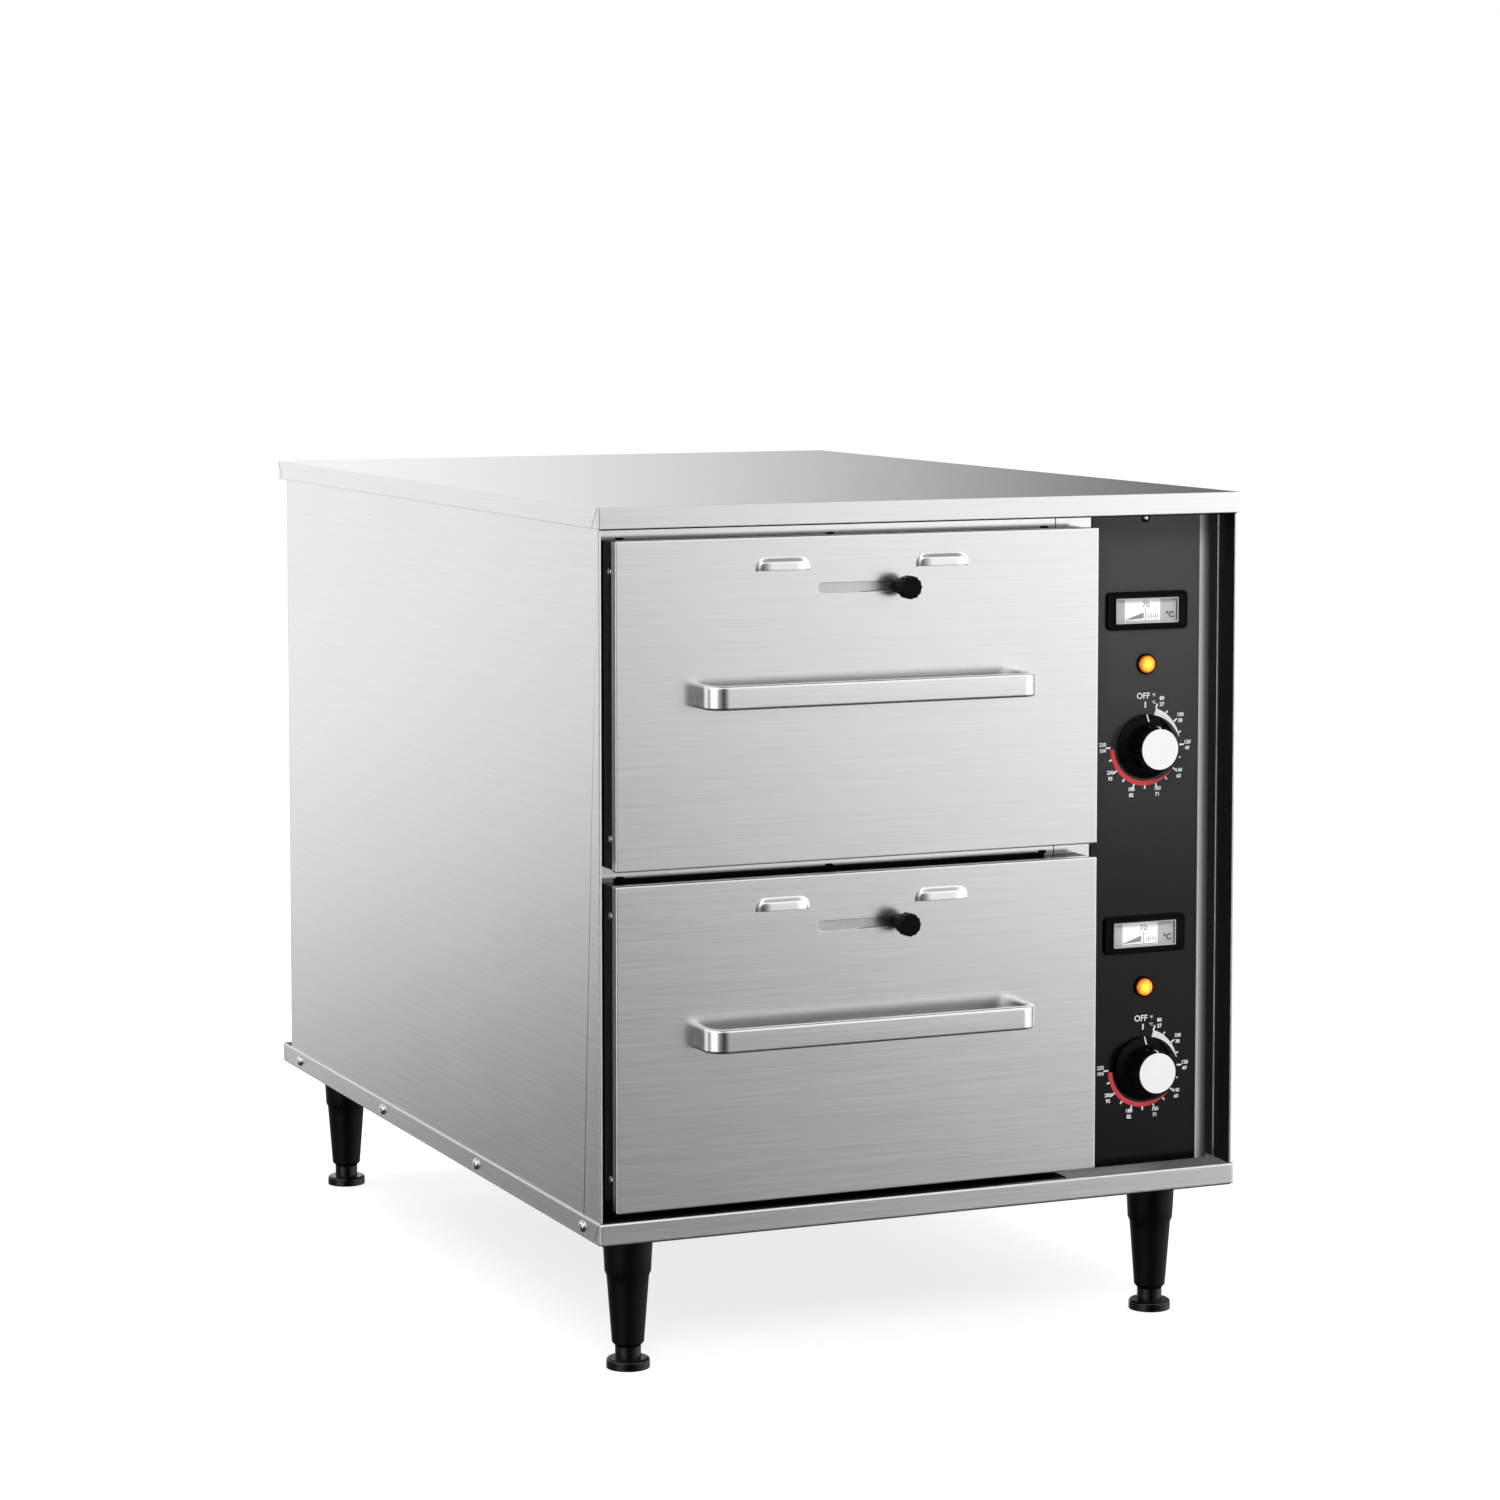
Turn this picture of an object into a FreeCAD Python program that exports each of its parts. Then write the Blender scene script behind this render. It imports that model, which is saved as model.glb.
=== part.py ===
import FreeCAD, Part

import math
import os

Vector = FreeCAD.Vector

# A free-standing two-drawer warming cabinet on four adjustable legs.
# Frame: +X to the right, +Y to the back, +Z up. The origin is the centre of the bounding box on the floor.
# All sizes are in millimetres.

# Overall sizes
overall_width = 503.0
overall_depth = 765.0        # over the handles
overall_height = 613.0
handle_proud = 26.5          # handle bar in front of the top cap's edge
leg_height = 101.5           # floor to the underside of the base tray
flange_height = 15.0         # turned edges of the top cap and the base tray
sheet = 1.0                  # stainless sheet of the cabinet

# Cabinet shell
panel_front_recess = 2.0     # side panels behind the cap's front edge
panel_hem = 10.0             # folded front edge of a side panel
rear_recess = 22.0           # rear panel behind the cap's rear edge
rear_return = 16.0           # side panel's inward flange that the rear panel is screwed to
cap_corner_radius = 1.5

# Face frame, control panel and drawer openings
frame_setback = 27.5         # face frame behind the cap's front edge
control_panel_width = 89.0
control_panel_thick = 1.5
right_strip = 16.5           # bare steel to the right of the control panel
stile_show = 8.0             # bare steel between drawer front and control panel
side_reveal = 11.0           # side panel to drawer front
top_reveal = 8.3             # top cap's lower edge to the upper drawer front
middle_reveal = 9.6          # gap between the drawer fronts
bottom_reveal = 5.7          # lower drawer front to the base tray's upper edge
front_side_lap = 8.75        # drawer front over the opening's sides
front_height_lap = 6.0       # drawer front over the opening's top and bottom
bay_window_margin = 8.0      # face frame behind the edge of the control panel

# Drawer front
front_recess = 1.0           # drawer face behind the cap's front edge
skin_return = 7.0            # turned edge of the stainless skin
front_stop_gap = 1.5         # closed drawer front to the face frame
louvre_width = 41.0
louvre_height = 8.0
louvre_rise = 3.0
louvre_pitch = 123.5
louvre_drop = 19.0           # below the top edge of the drawer front
slot_drop = 37.0             # vent slot's centre below the top edge of the drawer front
slot_length = 69.0
slot_height = 7.0
vent_plate_thick = 1.0
vent_plate_gap = 0.2
vent_plate_height = 36.0
vent_plate_margin = 6.0
vent_travel = 56.0
rail_lip = 3.0

# Vent knob
vent_stem_radius = 3.3
vent_neck_radius = 5.5
vent_head_radius = 8.2
vent_head_length = 10.0
vent_reach = 21.0            # knob's end in front of the drawer face
vent_lobes = 12
vent_lobe_depth = 0.9

# Handle: a flat bar bent to a U
handle_length = 256.0
handle_drop = 108.6          # handle's centre below the top edge of the drawer front
handle_height = 17.0
handle_thick = 5.5
handle_bend_radius = 14.0

# Telescopic slides
slide_thick = 12.7
slide_height = 45.0
slide_sheet = 1.2
slide_gap = 0.3
slide_web_gap = 0.5
slide_end_gap = 2.0          # slide's front end to the face frame
slide_rear_gap = 29.0        # slide's rear end to the liner
inner_slide_lead = 0.5       # inner member's front end to the drawer front's liner

# Heated cavities
rear_space = 75.5            # liner's inner back to the cap's rear edge
ledge_drop = 22.0            # pan ledge below the top of the opening
heater_space = 43.0          # floor of the cavity to the underside of the pan
carriage_sheet = 1.2
ledge_width = 9.0
carriage_upstand = 3.0       # carriage web above the ledge
pan_side_clearance = 2.1
pan_front_clearance = 6.0
pan_rear_clearance = 6.0
carriage_rear_gap = 62.5     # carriage's rear end to the slide's rear end
pan_sheet = 1.0
pan_rim = 9.2                # pan's wall inside its rim's edge
pan_corner_radius = 30.0
pan_rim_radius = 20.0
pan_floor_radius = 5.0

# Tubular heating elements
heater_radius = 4.0
heater_lift = 14.0           # tube's axis above the cavity floor
heater_pitch = 74.0          # between the tube's long runs
heater_runs = 4
heater_front_gap = 60.0
heater_tail = 14.0           # tube's end behind the liner
heater_hole_gap = 0.3
heater_support_width = 12.0

# Insulation
bay_blanket = 16.0
blanket_gap = 0.3
blanket_side_gap = 4.5       # room for the screws' ends inside the left side panel
rear_blanket = 40.0

# Controls
thermometer_drop = 63.4      # centres below the top edge of the drawer front
lamp_drop = 102.7
dial_drop = 163.3
bezel_width = 67.0
bezel_height = 28.0
bezel_rise = 3.0
bezel_radius = 3.0
window_width = 52.0
window_height = 20.5
window_radius = 1.5
case_width = 59.0
case_height = 24.0
case_depth = 26.0
lens_thick = 1.0
lens_inset = 1.0             # lens behind the bezel's face
card_gap = 3.0
card_thick = 0.8
panel_hole_gap = 0.3
lamp_ring_radius = 7.6
lamp_ring_rise = 1.6
lamp_barrel_radius = 6.0
lamp_barrel_depth = 26.0
lamp_lens_radius = 6.2
lamp_lens_rise = 4.2
lamp_lens_depth = 6.0

# Thermostats and their knobs
bush_radius = 5.0
bush_length = 4.5            # in front of the control panel's back
spindle_radius = 3.0
running_gap = 0.05
spindle_depth = 12.0         # into the thermostat
spindle_into_knob = 11.0
thermostat_size = 44.0
thermostat_depth = 30.0
capillary_radius = 1.0
capillary_hole_gap = 0.5
bulb_radius = 3.0
bulb_length = 90.0
bulb_wall_gap = 2.0
knob_gap = 1.0               # skirt to control panel
skirt_radius = 23.5
skirt_thick = 4.5
skirt_top_radius = 18.5
grip_radius = 16.3
knob_reach = 22.5            # face of the knob in front of the control panel
grip_lobes = 18
grip_lobe_depth = 0.7
face_disc_radius = 14.8
face_disc_thick = 1.0
face_disc_proud = 0.4

# Legs and adjustable feet
leg_inset_x = 41.5           # from the cap's side edges
leg_inset_front = 52.0       # from the cap's front edge
leg_inset_rear = 43.0        # from the cap's rear edge
leg_top_radius = 18.4
leg_collar = 32.0
leg_collar_radius = 16.6     # at the collar's lower end
leg_collar_step = 3.0        # slope under the collar, in height
leg_shank_radius = 15.2      # below the collar
leg_bottom_radius = 11.5
leg_taper_end = 18.5         # height of the leg's narrow end above the floor
leg_bottom = 16.0
foot_radius = 15.5
foot_thick = 7.0
foot_edge_radius = 2.0
neck_radius = 9.2
neck_gap = 0.3
stud_radius = 5.0
stud_length = 30.0
stud_hole_end_gap = 2.0
plate_bolt_radius = 4.0

# Fasteners and wiring
screw_head_radius = 4.2
screw_head_height = 2.2
screw_shank_radius = 1.9
screw_shank_length = 6.0
base_screw_count = 4
base_screw_front = 33.0       # first screw from the tray's front
base_screw_rear = 26.0        # last screw from the cabinet's rear face
rear_screw_count = 4
rear_screw_end = 30.0
front_screw_radius = 2.6
front_screw_head = 1.2
front_screw_end = 22.0
front_screw_depth = 12.5     # behind the drawer face
gland_radius = 9.0
gland_flange_radius = 13.0
gland_flange = 3.0
gland_nose = 14.0
gland_nut = 5.0
gland_bore = 4.6
gland_height = 45.0          # above the base tray's floor
gland_side = 62.0            # from the right side panel
vent_slot_count = 9
vent_slot_length = 150.0
vent_slot_height = 5.0
vent_slot_pitch = 13.0
rear_vent_drop = 60.0
terminal_width = 46.0
terminal_depth = 24.0
terminal_height = 20.0
terminal_ways = 5
terminal_wall_gap = 40.0

# Places that follow from the sizes above
half_width = overall_width / 2
cap_front = -overall_depth / 2 + handle_proud
cap_rear = overall_depth / 2
base_bottom = leg_height
base_floor = base_bottom + sheet
cap_under = overall_height - sheet
panel_outer = half_width - sheet
panel_inner = panel_outer - sheet
panel_front = cap_front + panel_front_recess
rear_face = cap_rear - rear_recess
rear_inner = rear_face - sheet
frame_front = cap_front + frame_setback
frame_back = frame_front + sheet
panel_face = frame_front - control_panel_thick

front_left = -panel_inner + side_reveal
control_right = panel_inner - right_strip
control_left = control_right - control_panel_width
control_x = (control_left + control_right) / 2
front_right = control_left - stile_show
drawer_x = (front_left + front_right) / 2
flange_top = base_bottom + flange_height
flange_under = overall_height - flange_height
front_height = (flange_under - flange_top - top_reveal - middle_reveal - bottom_reveal) / 2
drawer_pitch = front_height + middle_reveal
face_y = cap_front + front_recess
skin_inner = face_y + sheet
front_back = frame_front - front_stop_gap

opening_half = (front_right - front_left) / 2 - front_side_lap
opening_height = front_height - 2 * front_height_lap
cavity_back = cap_rear - rear_space
slide_front = frame_back + slide_end_gap
slide_rear = cavity_back - slide_rear_gap
web_half = opening_half - slide_thick
pan_half = web_half - carriage_sheet - pan_side_clearance
pan_depth = opening_height - ledge_drop - heater_space
carriage_rear = slide_rear - carriage_rear_gap
pan_front = front_back + pan_front_clearance
pan_rear = carriage_rear - pan_rear_clearance
bay_wall_x = drawer_x + opening_half + sheet + bay_blanket
leg_x = half_width - leg_inset_x

levels = {
    "upper": flange_under - top_reveal,
    "lower": flange_under - top_reveal - drawer_pitch,
}

nodes = {}


def box(x0, x1, y0, y1, z0, z1):
    return Part.makeBox(x1 - x0, y1 - y0, z1 - z0, Vector(x0, y0, z0))


def cylinder_y(x, z, radius, y0, y1):
    return Part.makeCylinder(radius, y1 - y0, Vector(x, y0, z), Vector(0, 1, 0))


def cylinder_z(x, y, radius, z0, z1):
    return Part.makeCylinder(radius, z1 - z0, Vector(x, y, z0), Vector(0, 0, 1))


def cylinder_x(y, z, radius, x0, x1):
    return Part.makeCylinder(radius, x1 - x0, Vector(x0, y, z), Vector(1, 0, 0))


def capsule_y(x, z, length, height, y0, y1):
    """A slot shape with round ends, along X, that runs from y0 to y1."""
    radius = height / 2
    half = length / 2 - radius
    body = box(x - half, x + half, y0, y1, z - radius, z + radius)
    ends = [cylinder_y(x + side * half, z, radius, y0, y1) for side in (-1, 1)]
    return body.multiFuse(ends).removeSplitter()


def rounded_y(x0, x1, y0, y1, z0, z1, radius):
    """A block whose four edges along Y are rounded."""
    block = box(x0, x1, y0, y1, z0, z1)
    return block.makeFillet(radius, edges_along(block, Vector(0, 1, 0)))


def rounded_z(x0, x1, y0, y1, z0, z1, radius):
    """A block whose four edges along Z are rounded."""
    block = box(x0, x1, y0, y1, z0, z1)
    return block.makeFillet(radius, edges_along(block, Vector(0, 0, 1)))


def edges_along(shape, axis):
    found = []
    for edge in shape.Edges:
        if len(edge.Vertexes) != 2:
            continue
        run = edge.Vertexes[1].Point - edge.Vertexes[0].Point
        if run.Length > 0 and abs(abs(run.normalize().dot(axis)) - 1) < 1e-6:
            found.append(edge)
    return found


def spaced(first, last, count):
    """Evenly spaced places from first to last."""
    step = (last - first) / (count - 1)
    return [first + step * i for i in range(count)]


def turned_y(x, z, outline):
    """A solid turned about the line along Y through x, z. The outline is a list of (radius, y)."""
    points = [Vector(x + radius, y, z) for radius, y in outline]
    face = Part.Face(Part.makePolygon(points + points[:1]))
    return face.revolve(Vector(x, 0, z), Vector(0, 1, 0), 360)


def turned_z(x, y, outline):
    """A solid turned about the vertical line through x, y. The outline is a list of (radius, z)."""
    points = [Vector(x + radius, y, z) for radius, z in outline]
    face = Part.Face(Part.makePolygon(points + points[:1]))
    return face.revolve(Vector(x, y, 0), Vector(0, 0, 1), 360)


def scalloped(solid, x, z, radius, lobes, depth, y0, y1):
    """Cuts evenly spaced grip flutes of the given depth into a round grip."""
    flute = radius * math.pi / lobes / 2
    cutters = []
    for i in range(lobes):
        angle = 2 * math.pi * (i + 0.5) / lobes
        reach = radius + flute - depth
        centre_x = x + reach * math.cos(angle)
        centre_z = z + reach * math.sin(angle)
        cutters.append(cylinder_y(centre_x, centre_z, flute, y0, y1))
    return solid.cut(Part.makeCompound(cutters))


def place(name, shape):
    nodes[name] = shape


def build_shell():
    cap = rounded_z(-half_width, half_width, cap_front, cap_rear, flange_under, overall_height, cap_corner_radius)
    cap = cap.cut(box(-panel_outer, panel_outer, cap_front + sheet, cap_rear - sheet, flange_under, cap_under))
    place("top_cap", cap)

    tray = rounded_z(-half_width, half_width, cap_front, cap_rear, base_bottom, flange_top, cap_corner_radius)
    tray = tray.cut(box(-panel_outer, panel_outer, cap_front + sheet, cap_rear - sheet, base_floor, flange_top))
    for x, y in leg_places():
        tray = tray.cut(cylinder_z(x, y, plate_bolt_radius, base_bottom, base_floor))
    for side in (-1, 1):
        for y, z in base_screw_places():
            tray = tray.cut(screw_hole_x(side, y, z))
    place("base_tray", tray)

    for side, name in ((-1, "left_side_panel"), (1, "right_side_panel")):
        inner, outer = sorted((side * panel_inner, side * panel_outer))
        panel = box(inner, outer, panel_front, rear_face, base_floor, cap_under)
        hem_inner, hem_outer = sorted((side * (panel_inner - sheet), side * panel_inner))
        hem = box(hem_inner, hem_outer, panel_front, panel_front + panel_hem, flange_top, flange_under)
        fold_inner, fold_outer = sorted((side * (panel_inner - rear_return), side * panel_inner))
        fold = box(fold_inner, fold_outer, rear_inner, rear_face, base_floor, cap_under)
        panel = panel.multiFuse([hem, fold]).removeSplitter()
        for y, z in base_screw_places():
            panel = panel.cut(screw_hole_x(side, y, z))
        for z in rear_screw_places():
            panel = panel.cut(screw_hole_y(side * rear_screw_x(), z))
        place(name, panel)

    rear = box(-panel_outer, panel_outer, rear_face, rear_face + sheet, base_floor, cap_under)
    for row in range(vent_slot_count):
        z = cap_under - rear_vent_drop - row * vent_slot_pitch
        rear = rear.cut(capsule_y(control_x, z, control_vent_length(), vent_slot_height, rear_face, rear_face + sheet))
        rear = rear.cut(capsule_y(drawer_x, z, vent_slot_length, vent_slot_height, rear_face, rear_face + sheet))
    for side in (-1, 1):
        for z in rear_screw_places():
            rear = rear.cut(screw_hole_y(side * rear_screw_x(), z))
    rear = rear.cut(cylinder_y(gland_x(), gland_z(), gland_radius, rear_face, rear_face + sheet))
    place("rear_panel", rear)


def control_vent_length():
    return control_panel_width - vent_slot_height * 3


def leg_places():
    front = cap_front + leg_inset_front
    rear = cap_rear - leg_inset_rear
    return [(-leg_x, front), (leg_x, front), (-leg_x, rear), (leg_x, rear)]


def base_screw_places():
    z = base_bottom + flange_height / 2
    first = cap_front + base_screw_front
    last = rear_face - base_screw_rear
    return [(y, z) for y in spaced(first, last, base_screw_count)]


def rear_screw_places():
    return spaced(flange_top + rear_screw_end, flange_under - rear_screw_end, rear_screw_count)


def rear_screw_x():
    return panel_inner - rear_return / 2


def gland_x():
    return panel_inner - gland_side


def gland_z():
    return base_floor + gland_height


def screw_hole_x(side, y, z):
    inner, outer = sorted((side * (panel_inner - sheet), side * half_width))
    return cylinder_x(y, z, screw_shank_radius, inner, outer)


def screw_hole_y(x, z):
    return cylinder_y(x, z, screw_shank_radius, rear_inner, rear_face + sheet)


def build_face_frame():
    frame = box(-panel_inner, panel_inner, frame_front, frame_back, base_floor, cap_under)
    for top in levels.values():
        z1 = top - front_height_lap
        z0 = z1 - opening_height
        frame = frame.cut(box(drawer_x - opening_half, drawer_x + opening_half, frame_front, frame_back, z0, z1))
    window_z0 = flange_top + bay_window_margin
    window_z1 = flange_under - bay_window_margin
    window_x0 = control_left + bay_window_margin
    window_x1 = control_right - bay_window_margin
    frame = frame.cut(box(window_x0, window_x1, frame_front, frame_back, window_z0, window_z1))
    place("face_frame", frame)

    wall = box(bay_wall_x, bay_wall_x + sheet, frame_back, rear_inner, base_floor, cap_under)
    for level in levels.values():
        z = level - dial_drop
        hole = capillary_radius + capillary_hole_gap
        wall = wall.cut(cylinder_x(capillary_y(), z, hole, bay_wall_x, bay_wall_x + sheet))
    place("control_bay_wall", wall)

    panel = box(control_left, control_right, panel_face, frame_front, flange_top, flange_under)
    for level in levels.values():
        case_half = case_width / 2 + panel_hole_gap
        case_rise = case_height / 2 + panel_hole_gap
        z = level - thermometer_drop
        x0 = control_x - case_half
        x1 = control_x + case_half
        panel = panel.cut(box(x0, x1, panel_face, frame_front, z - case_rise, z + case_rise))
        lamp_hole = lamp_barrel_radius + panel_hole_gap
        panel = panel.cut(cylinder_y(control_x, level - lamp_drop, lamp_hole, panel_face, frame_front))
        bush_hole = bush_radius + panel_hole_gap
        panel = panel.cut(cylinder_y(control_x, level - dial_drop, bush_hole, panel_face, frame_front))
    place("control_panel", panel)


def capillary_y():
    return frame_front + thermostat_depth * 2 / 3


def build_liners():
    x0 = drawer_x - opening_half
    x1 = drawer_x + opening_half
    for name, top in levels.items():
        z1 = top - front_height_lap
        z0 = z1 - opening_height
        liner = box(x0 - sheet, x1 + sheet, frame_back, cavity_back + sheet, z0 - sheet, z1 + sheet)
        liner = liner.cut(box(x0, x1, frame_back, cavity_back, z0, z1))
        supports = []
        for y in (frame_back + heater_front_gap * 2, cavity_back - heater_front_gap):
            span = heater_pitch * (heater_runs - 1) / 2 + heater_support_width
            rise = heater_lift - heater_radius
            supports.append(box(drawer_x - span, drawer_x + span, y, y + heater_support_width, z0, z0 + rise))
        liner = liner.multiFuse(supports).removeSplitter()
        for x in (heater_run_x(0), heater_run_x(heater_runs - 1)):
            hole = heater_radius + heater_hole_gap
            liner = liner.cut(cylinder_y(x, z0 + heater_lift, hole, cavity_back, cavity_back + sheet))
        bulb_z = levels[name] - dial_drop
        liner = liner.cut(cylinder_x(capillary_y(), bulb_z, capillary_radius + capillary_hole_gap, x1, x1 + sheet))
        place(name + "_liner", liner)
        place(name + "_heating_element", heating_element(z0 + heater_lift))


def heater_run_x(index):
    return drawer_x + (index - (heater_runs - 1) / 2) * heater_pitch


def heating_element(z):
    """One tube: long runs along Y, joined by half-circle bends."""
    bend = heater_pitch / 2
    front = frame_back + heater_front_gap + bend
    rear = cavity_back - heater_front_gap - bend
    pieces = []
    for i in range(heater_runs):
        end = cavity_back + sheet + heater_tail if i in (0, heater_runs - 1) else rear
        pieces.append(cylinder_y(heater_run_x(i), z, heater_radius, front, end))
    for i in range(heater_runs - 1):
        x = (heater_run_x(i) + heater_run_x(i + 1)) / 2
        at_front = i % 2 == 0
        y = front if at_front else rear
        ring = Part.makeTorus(bend, heater_radius, Vector(x, y, z), Vector(0, 0, 1))
        reach = bend + heater_radius
        if at_front:
            half = box(x - reach, x + reach, y - reach, y, z - heater_radius, z + heater_radius)
        else:
            half = box(x - reach, x + reach, y, y + reach, z - heater_radius, z + heater_radius)
        pieces.append(ring.common(half))
    return pieces[0].multiFuse(pieces[1:]).removeSplitter()


def build_insulation():
    gap = blanket_gap
    x0 = drawer_x - opening_half - sheet
    x1 = drawer_x + opening_half + sheet
    y0 = frame_back + gap
    y1 = cavity_back + sheet
    top_of_upper = levels["upper"] - front_height_lap + sheet
    bottom_of_upper = top_of_upper - opening_height - 2 * sheet
    top_of_lower = levels["lower"] - front_height_lap + sheet
    bottom_of_lower = top_of_lower - opening_height - 2 * sheet
    left = -panel_inner + blanket_side_gap
    right = bay_wall_x
    blankets = [
        box(left, right - gap, y0, y1, top_of_upper + gap, cap_under - gap),
        box(x0 + gap, x1 - gap, y0, y1, top_of_lower + gap, bottom_of_upper - gap),
        box(left, right - gap, y0, y1, base_floor, bottom_of_lower - gap),
        box(left, x0 - gap, y0, y1, bottom_of_lower, top_of_upper),
        box(x1 + gap, right - gap, y0, y1, bottom_of_lower, top_of_upper),
    ]
    for level in levels.values():
        hole = capillary_radius + capillary_hole_gap
        passage = cylinder_x(capillary_y(), level - dial_drop, hole, x1, right)
        blankets[-1] = blankets[-1].cut(passage)
    tail_room = heater_tail + gap
    rear = box(left, right - gap, y1 + gap, y1 + rear_blanket, base_floor, cap_under - gap)
    for top in levels.values():
        z = top - front_height_lap - opening_height + heater_lift
        for i in (0, heater_runs - 1):
            pocket = heater_radius + gap
            rear = rear.cut(cylinder_y(heater_run_x(i), z, pocket, y1, y1 + tail_room))
    place("insulation_blankets", Part.makeCompound(blankets + [rear]))


def slide_member(side, near, far, half_height, web_near, y0, y1):
    """A C-shaped slide member. near and far are distances in from the opening's side."""
    wall = drawer_x + side * opening_half

    def at(a, b):
        return sorted((wall - side * a, wall - side * b))

    x0, x1 = at(near, far)
    body = box(x0, x1, y0, y1, -half_height, half_height)
    if web_near:
        c0, c1 = at(near + slide_sheet, far)
    else:
        c0, c1 = at(near, far - slide_sheet)
    hollow = box(c0, c1, y0, y1, -half_height + slide_sheet, half_height - slide_sheet)
    return body.cut(hollow)


def slide_centre(top):
    return top - front_height_lap - ledge_drop + carriage_upstand - inner_half_height()


def inner_half_height():
    return slide_height / 2 - 2 * (slide_sheet + slide_gap)


def build_slides():
    outer_half = slide_height / 2
    mid_half = outer_half - slide_sheet - slide_gap
    inner_half = inner_half_height()
    mid_near = slide_sheet + slide_web_gap
    inner_near = mid_near + slide_sheet + slide_web_gap
    flange_far = slide_thick - slide_sheet - slide_web_gap
    outers = []
    for name, top in levels.items():
        lift = Vector(0, 0, slide_centre(top))
        mids = []
        inners = []
        for side in (-1, 1):
            outer = slide_member(side, 0, flange_far, outer_half, True, slide_front, slide_rear)
            mid = slide_member(side, mid_near, flange_far, mid_half, True, slide_front, slide_rear - slide_web_gap)
            inner_front = front_back + inner_slide_lead
            inner = slide_member(side, inner_near, slide_thick, inner_half, False, inner_front, slide_rear - slide_web_gap)
            for member, group in ((outer, outers), (mid, mids), (inner, inners)):
                member.translate(lift)
                group.append(member)
        place(name + "_mid_slides", Part.makeCompound(mids))
        place(name + "_inner_slides", Part.makeCompound(inners))
    place("outer_slides", Part.makeCompound(outers))


def build_carriage(name, top):
    ledge_top = top - front_height_lap - ledge_drop
    web_top = ledge_top + carriage_upstand
    web_bottom = web_top - 2 * inner_half_height()
    x0 = drawer_x - web_half
    x1 = drawer_x + web_half
    frame = box(x0, x1, front_back, carriage_rear, web_bottom, web_top)
    t = carriage_sheet
    hollow = box(x0 + t, x1 - t, front_back + t, carriage_rear - t, web_bottom, web_top)
    inset = t + ledge_width
    ledge = box(x0 + t, x1 - t, front_back + t, carriage_rear - t, ledge_top - t, ledge_top)
    ledge = ledge.cut(box(x0 + inset, x1 - inset, front_back + inset, carriage_rear - inset, ledge_top - t, ledge_top))
    place(name + "_carriage", frame.cut(hollow).fuse(ledge).removeSplitter())

    rim_top = ledge_top + pan_sheet
    pan_floor = ledge_top - pan_depth
    px0 = drawer_x - pan_half
    px1 = drawer_x + pan_half
    rim = rounded_z(px0, px1, pan_front, pan_rear, ledge_top, rim_top, pan_rim_radius)
    outer = pan_body(pan_rim, pan_floor, ledge_top, pan_corner_radius)
    inner = pan_body(pan_rim + pan_sheet, pan_floor + pan_sheet, rim_top, pan_corner_radius - pan_sheet)
    place(name + "_pan", rim.fuse(outer).cut(inner).removeSplitter())


def pan_body(inset, z0, z1, corner):
    x0 = drawer_x - pan_half + inset
    x1 = drawer_x + pan_half - inset
    body = rounded_z(x0, x1, pan_front + inset, pan_rear - inset, z0, z1, corner)
    floor_edges = [e for e in body.Edges if e.BoundBox.ZMax < z0 + 1e-6]
    return body.makeFillet(pan_floor_radius, floor_edges)


def vent_z(top):
    return top - slot_drop


def louvre_places(top):
    return [(drawer_x + side * louvre_pitch / 2, top - louvre_drop) for side in (-1, 1)]


def vent_plate_span(top):
    """The sliding plate covers both louvres when it is closed and their windows when it is open."""
    x0 = drawer_x - louvre_pitch / 2 - louvre_width / 2 - vent_plate_margin
    x1 = drawer_x + louvre_pitch / 2 + louvre_width / 2 + vent_travel + vent_plate_margin
    middle = top - (louvre_drop + slot_drop) / 2
    return x0, x1, middle - vent_plate_height / 2, middle + vent_plate_height / 2


def louvre_hood(x, z):
    """A pressed hood with round ends, open along its lower edge and to the inside."""
    rise_y = face_y - louvre_rise
    hood = capsule_y(x, z, louvre_width, louvre_height, rise_y, skin_inner)
    front_edges = [e for e in hood.Edges if e.BoundBox.YMax < rise_y + 1e-6]
    return hood.makeFillet(louvre_rise * 0.75, front_edges)


def louvre_hollow(x, z):
    wall = sheet * 0.8
    inner_y = face_y - louvre_rise + wall
    hollow = capsule_y(x, z, louvre_width - 2 * wall, louvre_height - 2 * wall, inner_y, skin_inner)
    half = (louvre_width - louvre_height) / 2
    mouth = box(x - half, x + half, inner_y, face_y, z - louvre_height, z - louvre_height / 2 + wall)
    return hollow.fuse(mouth)


def build_drawer_front(name, top):
    bottom = top - front_height
    skin = box(front_left, front_right, face_y, face_y + skin_return, bottom, top)
    hollow = box(front_left + sheet, front_right - sheet, skin_inner, face_y + skin_return, bottom + sheet, top - sheet)
    skin = skin.cut(hollow)
    for x, z in louvre_places(top):
        skin = skin.fuse(louvre_hood(x, z))
    for x, z in louvre_places(top):
        skin = skin.cut(louvre_hollow(x, z))
    skin = skin.cut(capsule_y(drawer_x, vent_z(top), slot_length, slot_height, face_y, skin_inner))
    skin = skin.multiFuse(vent_rails(top)).removeSplitter()
    place(name + "_drawer_front", skin)

    t = sheet
    liner = box(front_left + t, front_right - t, skin_rear(), front_back, bottom + t, top - t)
    pocket = box(front_left + 2 * t, front_right - 2 * t, skin_rear(), front_back - t, bottom + 2 * t, top - 2 * t)
    liner = liner.cut(pocket)
    for x, z, side in front_screw_places(top):
        liner = liner.cut(front_screw_shank(x, z, side))
    place(name + "_front_liner", liner)

    screws = []
    for x, z, side in front_screw_places(top):
        low, high = sorted((x, x + side * front_screw_head))
        head = cylinder_x(face_y + front_screw_depth, z, front_screw_radius, low, high)
        screws.append(head.fuse(front_screw_shank(x, z, side)))
    place(name + "_drawer_screws", Part.makeCompound(screws))


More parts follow.
